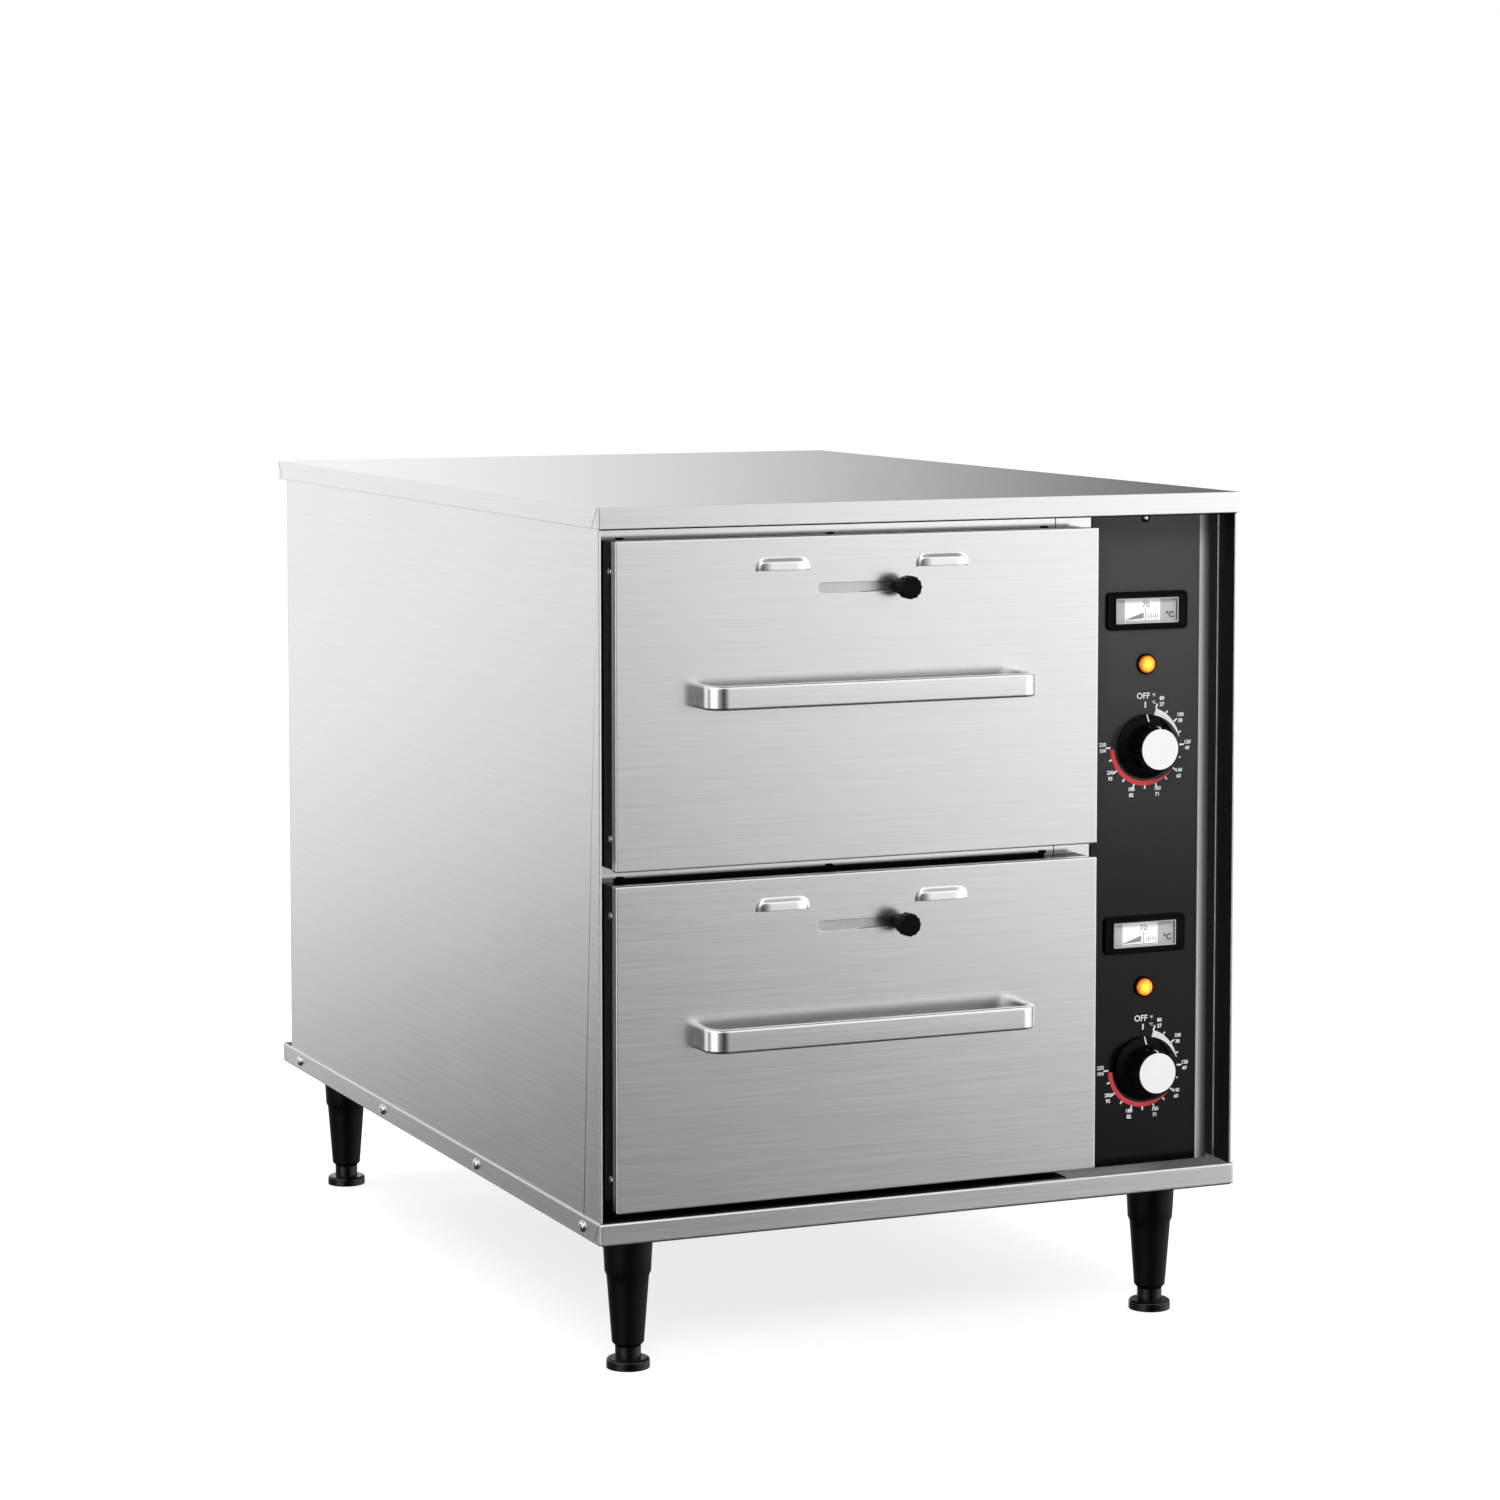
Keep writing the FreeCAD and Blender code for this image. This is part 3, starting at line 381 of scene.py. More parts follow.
def dress(obj, bevel):
    settle(obj.modifiers.new("weld", "WELD"), merge_threshold=WELD)
    if bevel:
        edge = settle(obj.modifiers.new("edge_round", "BEVEL"), limit_method="ANGLE", width=bevel * MM)
        settle(edge, angle_limit=math.radians(38.0), segments=2, use_clamp_overlap=True)
    smooth(obj)
    even_shading(obj)


BEVELS = {
    "stainless": 0.3,
    "stainless_inner": 0.25,
    "black_enamel": 0.25,
    "black_plastic": 0.25,
    "black_legs": 0.5,
    "zinc_steel": 0.2,
}
for node_name, shown in nodes.items():
    slot_name = shown.data.materials[0].name.split(".")[0]
    shown.data.materials[0] = materials[slot_name]
    # The louvred rear panel keeps square edges: rounding them would spoil its wide flat faces.
    dress(shown, 0.0 if node_name == "rear_panel" else BEVELS.get(slot_name, 0.0))
nodes["control_panel"].data.materials[0] = panel_paint("panel_paint")
nodes["face_frame"].data.materials[0] = brushed_steel("frame_steel", STEEL, 0.15, edge=0.9 * MM)
nodes["base_tray"].data.materials[0] = brushed_steel("base_steel", STEEL, 0.24, edge=2.2 * MM)


# ------ mesh helpers


def as_object(bm, name):
    """The form's object. The form is used up."""
    mesh = bpy.data.meshes.new(name)
    bm.to_mesh(mesh)
    bm.free()
    obj = bpy.data.objects.new(name, mesh)
    scene.collection.objects.link(obj)
    return obj


def solid(bm, name):
    """The form's object, with its faces outwards."""
    bmesh.ops.recalc_face_normals(bm, faces=bm.faces)
    return as_object(bm, name)


def finish_piece(name, bm, body, slot, replaced=(), looks=(), origin=None):
    """A piece of the scene, attached to its body and drawn in its slot's material, or in the given looks
    where they aren't the slot's own, with the CAD nodes that it replaces hidden."""
    obj = solid(bm, name)
    for look in looks or [materials[slot]]:
        obj.data.materials.append(look)
    if origin is not None:
        obj.location = origin
    smooth(obj)
    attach(obj, body)
    if replaced:
        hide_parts(*replaced)
    return obj


def corners(bm, points):
    """A corner at each point (x, y, z), given in millimetres."""
    return [bm.verts.new(Vector(point) * MM) for point in points]


def skin(bm, rings, ends=True):
    """Faces from each ring of corners to the next, and over the first and the last ring, as a list."""
    made = [bm.faces.new(rings[0]), bm.faces.new(reversed(rings[-1]))] if ends else []
    for ring, following in zip(rings, rings[1:]):
        for k in range(len(ring)):
            turn = (k + 1) % len(ring)
            made.append(bm.faces.new((ring[turn], ring[k], following[k], following[turn])))
    return made


def slab(bm, inner, outer, front, back, index=0):
    """A thin solid between two lines of points (x, z), from y = front to y = back, in millimetres."""
    rings = []
    for (inner_x, inner_z), (outer_x, outer_z) in zip(inner, outer):
        near = [(inner_x, front, inner_z), (outer_x, front, outer_z)]
        rings.append(corners(bm, near + [(outer_x, back, outer_z), (inner_x, back, inner_z)]))
    for face in skin(bm, rings):
        face.material_index = index


def block(bm, x0, x1, z0, z1, front, back, index=0):
    slab(bm, [(x0, z0), (x1, z0)], [(x0, z1), (x1, z1)], front, back, index)


def lettering(bm, words, size, x, z, front, index=0, weight=0.0):
    """Printed words in the plane y = front, centred on (x, z), read from the front."""
    curve = bpy.data.curves.new("lettering", "FONT")
    settle(curve, body=words, size=size * MM, align_x="CENTER", align_y="CENTER", resolution_u=3)
    settle(curve, extrude=INK * MM / 2, offset=weight * MM)
    holder = bpy.data.objects.new("lettering", curve)
    scene.collection.objects.link(holder)
    bpy.context.view_layer.update()
    depsgraph = bpy.context.evaluated_depsgraph_get()
    mesh = bpy.data.meshes.new_from_object(holder.evaluated_get(depsgraph))
    place = Matrix.Translation(Vector((x, front + INK / 2, z)) * MM)
    mesh.transform(place @ UPRIGHT)
    first = len(bm.faces)
    bm.from_mesh(mesh)
    bm.faces.ensure_lookup_table()
    for face in bm.faces[first:]:
        face.material_index = index
    bpy.data.objects.remove(holder)
    bpy.data.curves.remove(curve)
    bpy.data.meshes.remove(mesh)


def turned(profile):
    """A solid of revolution about +Z from points (radius, height) in millimetres."""
    sides = 32
    bm = bmesh.new()
    rings = []
    for radius, height in profile:
        turns = [2 * math.pi * k / sides for k in range(sides if radius else 1)]
        points = [(radius * math.cos(turn), radius * math.sin(turn), height) for turn in turns]
        rings.append(corners(bm, points))
    for upper, lower in zip(rings, rings[1:]):
        for k in range(sides):
            turn = (k + 1) % sides
            loop = [upper[k % len(upper)], upper[turn % len(upper)]]
            loop += [lower[turn % len(lower)], lower[k % len(lower)]]
            bm.faces.new(list(dict.fromkeys(loop)))
    return bm


def carved(blank, cutters):
    """The blank's mesh with every cutter taken out of it. The blank and the cutters are used up."""
    for helper in cutters:
        cut = blank.modifiers.new("cut", "BOOLEAN")
        settle(cut, operation="DIFFERENCE", solver="EXACT", object=helper)
    bpy.context.view_layer.update()
    mesh = bpy.data.meshes.new_from_object(blank.evaluated_get(bpy.context.evaluated_depsgraph_get()))
    for helper in (blank, *cutters):
        bpy.data.objects.remove(helper)
    return mesh


def cross_recess(radius, rise):
    """The tapered cross of a screwdriver's tip."""
    bm = bmesh.new()
    for long_way in (True, False):
        rings = []
        for height, length, width in ((rise * 1.1, 0.66, 0.17), (rise * 0.2, 0.4, 0.1)):
            size_x, size_y = (length, width) if long_way else (width, length)
            rings.append(corners(bm, [(x * size_x * radius, y * size_y * radius, height) for x, y in SQUARE]))
        skin(bm, rings)
    return bm


def screw_mesh(radius, rise, shank, length):
    """A pan-head screw with a cross recess, its seat at z = 0 and its head along +Z."""
    head = ((0, 1), (0.5, 0.98), (0.76, 0.84), (0.92, 0.58), (1, 0.22), (1, 0))
    profile = [(radius * out, rise * up) for out, up in head]
    profile += [(shank, 0), (shank, -length), (0, -length)]
    recess = solid(cross_recess(radius, rise), "screw_recess")
    return carved(solid(turned(profile), "screw_blank"), [recess])


def islands(node):
    """The box of each separate solid in a CAD node, in metres."""
    bm = bmesh.new()
    bm.from_mesh(nodes[node].data)
    bmesh.ops.remove_doubles(bm, verts=bm.verts, dist=WELD)
    left = set(bm.verts)
    boxes = []
    while left:
        stack = [left.pop()]
        found = list(stack)
        while stack:
            for edge in stack.pop().link_edges:
                for vert in left.intersection(edge.verts):
                    left.remove(vert)
                    stack.append(vert)
                    found.append(vert)
        low = Vector([min(vert.co[k] for vert in found) for k in range(3)])
        high = Vector([max(vert.co[k] for vert in found) for k in range(3)])
        boxes.append((low, high))
    bm.free()
    return sorted(boxes, key=lambda box: tuple(round(value, 5) for value in box[0]))


def screw_set(name, node, body, centre_x, head, side_limit=0.0):
    """Screws with cross recesses in place of a CAD node's plain ones. Those nearer the middle than
    side_limit millimetres face the rear, and the others face away from centre_x. The head is (its radius,
    its height, the shank's radius, the shank's length)."""
    radius, rise, shank, length = head
    mesh = screw_mesh(radius, rise, shank, length)
    bm = bmesh.new()
    for number, (low, high) in enumerate(islands(node)):
        seat = (low + high) / 2
        offset = seat.x / MM - centre_x
        if abs(offset) < side_limit:
            seat.y = high.y - rise * MM
            facing = Vector((0, 1, 0))
        else:
            side = 1 if offset > 0 else -1
            seat.x = (high.x if side > 0 else low.x) - side * rise * MM
            facing = Vector((side, 0, 0))
        turn = facing.to_track_quat("Z", "Y").to_matrix().to_4x4()
        spin = Matrix.Rotation(math.radians(SCREW_TURN + SCREW_TURN_STEP * number), 4, "Z")
        copy = mesh.copy()
        copy.transform(Matrix.Translation(seat) @ turn @ spin)
        bm.from_mesh(copy)
        bpy.data.meshes.remove(copy)
    bpy.data.meshes.remove(mesh)
    finish_piece(name, bm, body, "screw_steel", [node])


# ------ screws

# How far the first screw's cross is turned, and how much further each next one is, in degrees.
SCREW_TURN, SCREW_TURN_STEP = 23, 37

screw_set("cabinet_screw_heads", "cabinet_screws", "cabinet", 0.0, (4.2, 2.2, 1.9, 6.0), side_limit=245.0)
for which in BOTH:
    drawer = which + "_drawer"
    screw_set(drawer + "_screw_heads", drawer + "_screws", drawer, DRAWER_X, (2.7, 1.7, 1.3, 1.6))


# ------ drawer fronts


def capsule(x, z, length, height, steps=10):
    """The outline (x, z) of a slot with round ends."""
    radius = height / 2
    points = []
    for side, start in ((1, -90), (-1, 90)):
        end_x = x + side * (length / 2 - radius)
        for k in range(steps + 1):
            turn = math.radians(start + 180 * k / steps)
            points.append((end_x + radius * math.cos(turn), z + radius * math.sin(turn)))
    return points


def rectangle(x0, x1, z0, z1):
    return [(x0, z0), (x1, z0), (x1, z1), (x0, z1)]


def prism(bm, points, front, back):
    """A solid with one outline (x, z) from y = front to y = back."""
    skin(bm, [corners(bm, [(x, y, z) for x, z in points]) for y in (front, back)])


def cutter(points, front, back):
    bm = bmesh.new()
    prism(bm, points, front, back)
    return solid(bm, "cutter")


LOUVRE_PITCH, LOUVRE_DROP = 123.5, 19.0
LOUVRE_WIDTH, LOUVRE_HEIGHT = 41.0, 9.0
SLOT_DROP, SLOT_LENGTH, SLOT_HEIGHT = 37.0, 69.0, 7.0
FRONT_DEPTH, FRONT_FOLD = 7.0, 1.1
# The opening behind each louvre, and the strips that the vent plate slides in.
MOUTH_WIDTH, MOUTH_DROP, MOUTH_RISE = LOUVRE_WIDTH - 7.0, 4.0, 1.0
RAIL_LENGTH, RAIL_LIP, RAIL_GAP = 288.5, 3.0, 1.4
UPPER_RAIL_DROP, LOWER_RAIL_DROP = 9.8, 46.2
# How far a hood stands out, by distance in from its outline: more towards its lower lip, less at its
# two ends.
HOOD_RISE = ((0.0, 0.0), (0.25, 0.25), (3.0, 2.2), (3.3, 2.35), (3.6, 2.41), (4.4, 2.42))
HOOD_CORNER, HOOD_LEAN, HOOD_SHOULDER, HOOD_DIP = 7.0, 0.2, 10.0, 0.5
HOOD_ROWS = (0.0, 0.03, 0.08, 0.16, 0.25, 0.33, 0.37, 0.4, 0.45, 0.5, 0.62, 0.8, 1.0)


def hood_top(x):
    """The height of a hood's outline over its centre, at x from that centre."""
    past = abs(x) - (LOUVRE_WIDTH / 2 - HOOD_CORNER)
    drop = HOOD_CORNER - math.sqrt(HOOD_CORNER ** 2 - past ** 2) if past > 0 else 0.0
    return LOUVRE_HEIGHT / 2 - drop


def hood_rise(x, z):
    """How far a hood stands in front of the sheet at (x, z) from its centre."""
    past = abs(x) - (LOUVRE_WIDTH / 2 - HOOD_CORNER)
    above = z - (LOUVRE_HEIGHT / 2 - HOOD_CORNER)
    inset = min(LOUVRE_WIDTH / 2 - abs(x), LOUVRE_HEIGHT / 2 - z)
    if past > 0 and above > 0:
        inset = HOOD_CORNER - math.hypot(past, above)
    rise = HOOD_RISE[-1][1]
    for (near, low), (far, high) in zip(HOOD_RISE, HOOD_RISE[1:]):
        if inset < far:
            rise = low + (high - low) * max(0.0, inset - near) / (far - near)
            break
    lean = 1 + HOOD_LEAN * (LOUVRE_HEIGHT / 2 - z) / LOUVRE_HEIGHT
    share = max(0.0, abs(x) - (LOUVRE_WIDTH / 2 - HOOD_SHOULDER)) / HOOD_SHOULDER
    return rise * lean * (1 - HOOD_DIP * share * share * (3 - 2 * share))


def hood(bm, x, z):
    """A louvre pressed out of the sheet, open along its lower edge."""
    count, wall = 36, 0.7
    skins = []
    for depth in (0.0, wall):
        columns = []
        for k in range(count + 1):
            px = LOUVRE_WIDTH / 2 * math.sin(math.pi * (k / count - 0.5))
            top = hood_top(px)
            heights = [top - (top + LOUVRE_HEIGHT / 2) * share for share in HOOD_ROWS]
            points = [(x + px, FACE_Y - hood_rise(px, pz) + depth, z + pz) for pz in heights]
            columns.append(corners(bm, points))
        for column, following in zip(columns, columns[1:]):
            for k in range(len(HOOD_ROWS) - 1):
                bm.faces.new((column[k], following[k], following[k + 1], column[k + 1]))
        skins.append(columns)
    rims = []
    for columns in skins:
        rim = [column[0] for column in columns] + columns[-1][1:]
        rims.append(rim + [column[-1] for column in reversed(columns[:-1])] + columns[0][-2:0:-1])
    skin(bm, rims, ends=False)


def vent_rails(bm, top):
    """The two lipped strips behind the sheet that the vent plate slides in."""
    inside = FACE_Y + SHEET
    lip_front = inside + RAIL_GAP
    lip_back = lip_front + SHEET
    left, right = DRAWER_X - RAIL_LENGTH / 2, DRAWER_X + RAIL_LENGTH / 2
    for drop, side in ((UPPER_RAIL_DROP, 1), (LOWER_RAIL_DROP, -1)):
        edge = top - drop
        low, high = sorted((edge, edge + side * SHEET))
        block(bm, left, right, low, high, inside, lip_back)
        low, high = sorted((edge - side * RAIL_LIP, edge))
        block(bm, left, right, low, high, lip_front, lip_back)


def drawer_skin(which):
    """The stainless sheet of a drawer front: folded back all round, with its hooded louvres and vent slot."""
    node = which + "_drawer_front"
    low, high = span(node)
    top, rear = high.z, FACE_Y + FRONT_DEPTH
    bm = bmesh.new()
    prism(bm, rectangle(low.x, high.x, low.z, top), FACE_Y, rear)
    front_edges = []
    for edge in bm.edges:
        if min(vert.co.y for vert in edge.verts) / MM < FACE_Y + 0.1:
            front_edges.append(edge)
    bmesh.ops.bevel(
        bm,
        geom=front_edges,
        offset=FRONT_FOLD * MM,
        offset_type="OFFSET",
        segments=5,
        profile=0.5,
        affect="EDGES",
    )
    hollow = rectangle(low.x + SHEET, high.x - SHEET, low.z + SHEET, top - SHEET)
    cutters = [cutter(hollow, FACE_Y + SHEET, rear + SHEET)]
    slot = capsule(DRAWER_X, top - SLOT_DROP, SLOT_LENGTH, SLOT_HEIGHT)
    cutters.append(cutter(slot, FACE_Y - SHEET, rear))
    places = [(DRAWER_X + side * LOUVRE_PITCH / 2, top - LOUVRE_DROP) for side in (-1, 1)]
    for x, z in places:
        mouth = rectangle(x - MOUTH_WIDTH / 2, x + MOUTH_WIDTH / 2, z - MOUTH_DROP, z + MOUTH_RISE)
        cutters.append(cutter(mouth, FACE_Y - SHEET, rear))
    mesh = carved(solid(bm, "skin_blank"), cutters)
    bm = bmesh.new()
    bm.from_mesh(mesh)
    bpy.data.meshes.remove(mesh)
    for x, z in places:
        hood(bm, x, z)
    vent_rails(bm, top)
    even_shading(finish_piece(which + "_drawer_skin", bm, which + "_drawer", "stainless", [node]))


def handle_path(left, right, front, back, thick, bend):
    """The handle's middle line in plan, as (x, y, outward x, outward y)."""
    radius = bend - thick / 2
    path = [(left + thick / 2, back, -1.0, 0.0)]
    for centre, start in ((left + bend, 180), (right - bend, 270)):
        for k in range(13):
            turn = math.radians(start + 90 * k / 12)
            out_x, out_y = math.cos(turn), math.sin(turn)
            path.append((centre + radius * out_x, front + bend + radius * out_y, out_x, out_y))
    path.append((right - thick / 2, back, 1.0, 0.0))
    return path


def handle_bar(which):
    """A flat bar bent to a U, with rounded edges."""
    node = which + "_handle"
    low, high = span(node)
    thick, bend, edge = 5.5, 14.0, 2.0
    half_height, middle_z = (high.z - low.z) / 2, (high.z + low.z) / 2
    section = []
    for side_out, side_up, start in ((1, 1, 0), (-1, 1, 90), (-1, -1, 180), (1, -1, 270)):
        for k in range(6):
            turn = math.radians(start + 18 * k)
            out = side_out * (thick / 2 - edge) + edge * math.cos(turn)
            up = side_up * (half_height - edge) + edge * math.sin(turn)
            section.append((out, up))
    bm = bmesh.new()
    rings = []
    for x, y, out_x, out_y in handle_path(low.x, high.x, low.y, high.y, thick, bend):
        rings.append(corners(bm, [(x + out * out_x, y + out * out_y, middle_z + up) for out, up in section]))
    skin(bm, rings)
    even_shading(finish_piece(which + "_handle_bar", bm, which + "_drawer", "stainless", [node]))


for which in BOTH:
    drawer_skin(which)
    handle_bar(which)


# ------ frame details

# The upright joint in the face frame, and the width of the strip of painted reflection and shade on the fold
# beside the control panel.
JOINT_X = 114.0
STILE_FOLD = 9.5
# Where the dark strips above the drawer fronts begin and how far they stand out, and where the strips of
# painted shade along the cap and the tray end.
DARK_STRIP_START, DARK_STRIP_PROUD = -229.5, 1.4
PAINTED_EDGE_SHADE_END, PAINTED_LEDGE_SHADE_END = 249.0, 247.0
PANEL_SCREW_Z = 594.2


def seal_strips():
    """Dark strips that paint the shade in the gap above each drawer front, with small dark beads on them; and
    dark strips of painted shade below the cap's front edge, below the base tray's front edge and along the
    top of the base tray's front edge."""
    bm = bmesh.new()
    for which, reach in (("upper", -0.9), ("lower", 1.7)):
        top = span(which + "_drawer_front")[1].z
        # Painted shade: a dark strip in the gap above the drawer front.
        block(bm, DARK_STRIP_START, JOINT_X - 8, top - 4.0, top + reach, FRAME_FACE - DARK_STRIP_PROUD, FRAME_FACE)
        for x in (-225.0, -65.0, JOINT_X - 9):
            bead = capsule(x, top + reach + 0.3, 5.5, 2.0, 6)
            prism(bm, bead, FRAME_FACE - DARK_STRIP_PROUD - 0.05, FRAME_FACE)
    edge, cap_bottom = span("top_cap")[0].yz
    tray_low, tray_high = span("base_tray")
    # Painted shade: dark strips below the cap's and the tray's front edges, and on the tray's top behind its
    # front edge.
    for left, right, bottom, top, front, back in (
        (-PAINTED_EDGE_SHADE_END, PAINTED_EDGE_SHADE_END, cap_bottom - 0.9, cap_bottom, edge + 0.6, edge + 2.6),
        (-PAINTED_EDGE_SHADE_END, PAINTED_EDGE_SHADE_END, tray_low.z - 0.8, tray_low.z, edge + 0.4, edge + 2.4),
        (-PAINTED_LEDGE_SHADE_END, JOINT_X, tray_high.z, tray_high.z + 0.8, edge + 4.0, FRAME_FACE),
        (-PAINTED_LEDGE_SHADE_END, JOINT_X, tray_high.z + 0.8, tray_high.z + 11.0, FRAME_FACE - 0.8, FRAME_FACE),
    ):
        block(bm, left, right, bottom, top, front, back)
    finish_piece("frame_dark_strips_painted_shade", bm, "cabinet", "black_plastic", looks=[black_strips_painted_shade])


seal_strips()


def side_lining():
    """A thin black sheet on the inner side of the right-hand panel, in front of the face frame."""
    bm = bmesh.new()
    sheet_thickness = 0.4
    low, high = span("right_side_panel")
    inner = high.x - SHEET
    hem = inner - SHEET
    hem_back = low.y + 10.0
    bottom, top = span("base_tray")[1].z, span("top_cap")[0].z
    block(bm, hem - sheet_thickness, hem, bottom, top, low.y + 0.3, hem_back)
    block(bm, hem - sheet_thickness, inner, bottom, top, hem_back, hem_back + sheet_thickness)
    block(bm, inner - sheet_thickness, inner, bottom, top, hem_back + sheet_thickness, FRAME_FACE - 1.6)
    finish_piece("side_lining", bm, "cabinet", "black_enamel")


side_lining()


def frame_joints():
    """Fine upright joints in the face frame, in the gaps above the drawer fronts."""
    bm = bmesh.new()
    width, proud = 0.7, 0.05
    upper_low, upper_high = span("upper_drawer_front")
    lower_high = span("lower_drawer_front")[1]
    for bottom, top in ((upper_high.z, span("top_cap")[0].z), (lower_high.z, upper_low.z)):
        block(bm, JOINT_X, JOINT_X + width, bottom - 2.0, top, FRAME_FACE - proud, FRAME_FACE)
    finish_piece("frame_joints", bm, "cabinet", "stainless", looks=[seam_dark])


frame_joints()


def fold_steel(name, left, right):
    """Painted reflection and shade on the soft fold beside the control panel: pale at its edge, dark where it
    turns into the recess.
    """
    made, tree, shader = surface_of(name, specular=0.3)
    share = spread(tree, axes(tree, position(tree))["X"], 0.0, 1.0, left * MM, right * MM)
    fine = noise(tree, 900.0, detail=2.0)
    shade = plus(tree, share, spread(tree, fine, -0.03, 0.03))
    # Painted reflection and shade: pale at the fold's outer edge, dark where it turns into the recess.
    tint = ramp(tree, shade, [(0.0, 0.85), (0.25, 0.5), (0.6, 0.14), (1.0, 0.02)])
    plug(shader, tint, spread(tree, fine, 0.3, 0.36))
    return made


def bright_folds():
    """Painted light on the folds: a pale painted highlight along the base tray's top edge, and painted
    reflection and shade on the fold beside the control panel.
    """
    proud = 0.06
    bm = bmesh.new()
    low, high = span("base_tray")
    # Painted highlight: a pale strip along the top of the base tray's front fold.
    block(bm, low.x + 0.6, high.x - 0.6, high.z - 1.3, high.z - 0.1, low.y - proud, low.y)
    finish_piece("base_fold_painted_highlight", bm, "cabinet", "stainless", looks=[painted_fold_highlight])
    bm = bmesh.new()
    # Painted reflection and shade on the fold beside the control panel.
    left = span("control_panel")[1].x + 0.1
    right = left + STILE_FOLD
    block(bm, left, right, high.z, span("top_cap")[0].z - 1.0, FRAME_FACE - proud, FRAME_FACE)
    looks = [fold_steel("frame_fold", left, right)]
    finish_piece("painted_frame_fold_shading_edge", bm, "cabinet", "stainless", looks=looks)


bright_folds()


def panel_screw():
    """The screw that holds the control panel's top edge, in a dark ring round its head."""
    place = Matrix.Translation(Vector((CONTROL_X - 1.0, PANEL_FACE, PANEL_SCREW_Z)) * MM) @ UPRIGHT
    mesh = screw_mesh(2.2, 1.3, 1.3, 1.4)
    mesh.transform(place @ Matrix.Rotation(0.6, 4, "Z"))
    bm = bmesh.new()
    bm.from_mesh(mesh)
    bpy.data.meshes.remove(mesh)
    finish_piece("panel_top_screw", bm, "cabinet", "screw_steel")
    dark_ring = turned([(0, 0.5), (3.3, 0.5), (3.6, 0.2), (3.6, 0), (0, 0)])
    bmesh.ops.transform(dark_ring, matrix=place, verts=dark_ring.verts)
    finish_piece("panel_screw_dark_ring", dark_ring, "cabinet", "black_plastic")


panel_screw()


# ------ dials

# The dial's scale: degrees from one tick to the next, the radius of its coloured bands and of its numbers,
# where the red band runs, and the ticks as (inner radius, outer radius, width), with the two that differ
# by their step.
DIAL_STEP = 18
DIAL_RING, LABEL_RING = 28.9, 35.3
RED_START, RED_END = 129, 267
LABELLED_TICK, PLAIN_TICK = (28.7, 32.6, 1.25), (28.9, 31.4, 1.2)
ODD_TICKS = {0: (28.4, 32.8, 1.2), 6: (29.9, 31.1, 1.1)}
# The thermometers' printed card: how far right of the dials' middle and how far behind the panel it is.
SCALE_SHIFT, CARD_DEPTH = 2.3, 2.0


def on_dial(z, angle, radius, aside=0.0):
    """A point on the dial, at an angle clockwise from the top."""
    turn = math.radians(angle)
    x = CONTROL_X + radius * math.sin(turn) + aside * math.cos(turn)
    return x, z + radius * math.cos(turn) - aside * math.sin(turn)


def tick(bm, z, angle, start, end, width):
    half = width / 2
    left = [on_dial(z, angle, start, -half), on_dial(z, angle, end, -half)]
    right = [on_dial(z, angle, start, half), on_dial(z, angle, end, half)]
    slab(bm, left, right, PANEL_FACE - INK, PANEL_FACE)


def band(bm, z, places, index):
    """An arc band from (angle, inner radius, outer radius) places."""
    inner = [on_dial(z, angle, low) for angle, low, high in places]
    outer = [on_dial(z, angle, high) for angle, low, high in places]
    slab(bm, inner, outer, PANEL_FACE - INK, PANEL_FACE, index)


def dial_print(which):
    z = middle(which + "_knob_face").z
    bm = bmesh.new()
    for step in range(16):
        start, end, width = ODD_TICKS.get(step, LABELLED_TICK if step % 2 else PLAIN_TICK)
        tick(bm, z, step * DIAL_STEP, start, end, width)
    pale = []
    for k in range(21):
        share = k / 20
        depth = 5.2 * (1 - share) ** 0.85 + 0.02
        pale.append((DIAL_STEP + 60 * share, DIAL_RING - depth, DIAL_RING + 0.3 * share))
    band(bm, z, pale, 0)
    red = []
    for k in range(41):
        swept = (RED_END - RED_START) * k / 40
        width = 3.4 * min(1.0, swept / 41 + 0.01)
        red.append((RED_START + swept, DIAL_RING - width, DIAL_RING))
    band(bm, z, red, 1)
    words = [("OFF", 6.3, CONTROL_X - 1.8, z + 36.9, 0.1)]
    words += [(mark, 2.9, CONTROL_X + 6.9, z + up, 0.07) for mark, up in (("°F", 37.2), ("°C", 32.0))]
    for k in range(8):
        angle = DIAL_STEP * (1 + 2 * k)
        fahrenheit = 80 + 20 * k
        celsius = round((fahrenheit - 32) / 1.8)
        x, level = on_dial(z, angle + 90 / angle, LABEL_RING)
        words += [(str(fahrenheit), 3.8, x, level + 2.2, 0.13), (str(celsius), 3.8, x, level - 2.2, 0.13)]
    for text, size, x, level, weight in words:
        lettering(bm, text, size, x, level, PANEL_FACE - INK, weight=weight)
    finish_piece(which + "_dial_print", bm, "cabinet", "black_enamel", looks=[white_ink, red_ink])


def knob_lines(which):
    """White index lines on the knob's skirt and on its grip."""
    z = middle(which + "_knob_face").z
    bm = bmesh.new()
    half, depth = 0.5, 0.3
    skirt = ((5.7, 18.4), (5.4, 18.9), (2.85, 23.1), (2.4, 23.62))
    grip = ((22.55, 14.9), (22.55, 15.5), (21.7, 16.38), (18.0, 16.38))
    for path in (skirt, grip):
        rings = []
        for proud, radius in path:
            ring = []
            for side, down in ((-half, 0), (half, 0), (half, depth), (-half, depth)):
                ring.append((CONTROL_X + side, PANEL_FACE - proud + down, z + radius - down))
            rings.append(corners(bm, ring))
        skin(bm, rings)
    finish_piece(which + "_knob_index_lines", bm, which + "_knob", "knob_disc", looks=[white_ink])


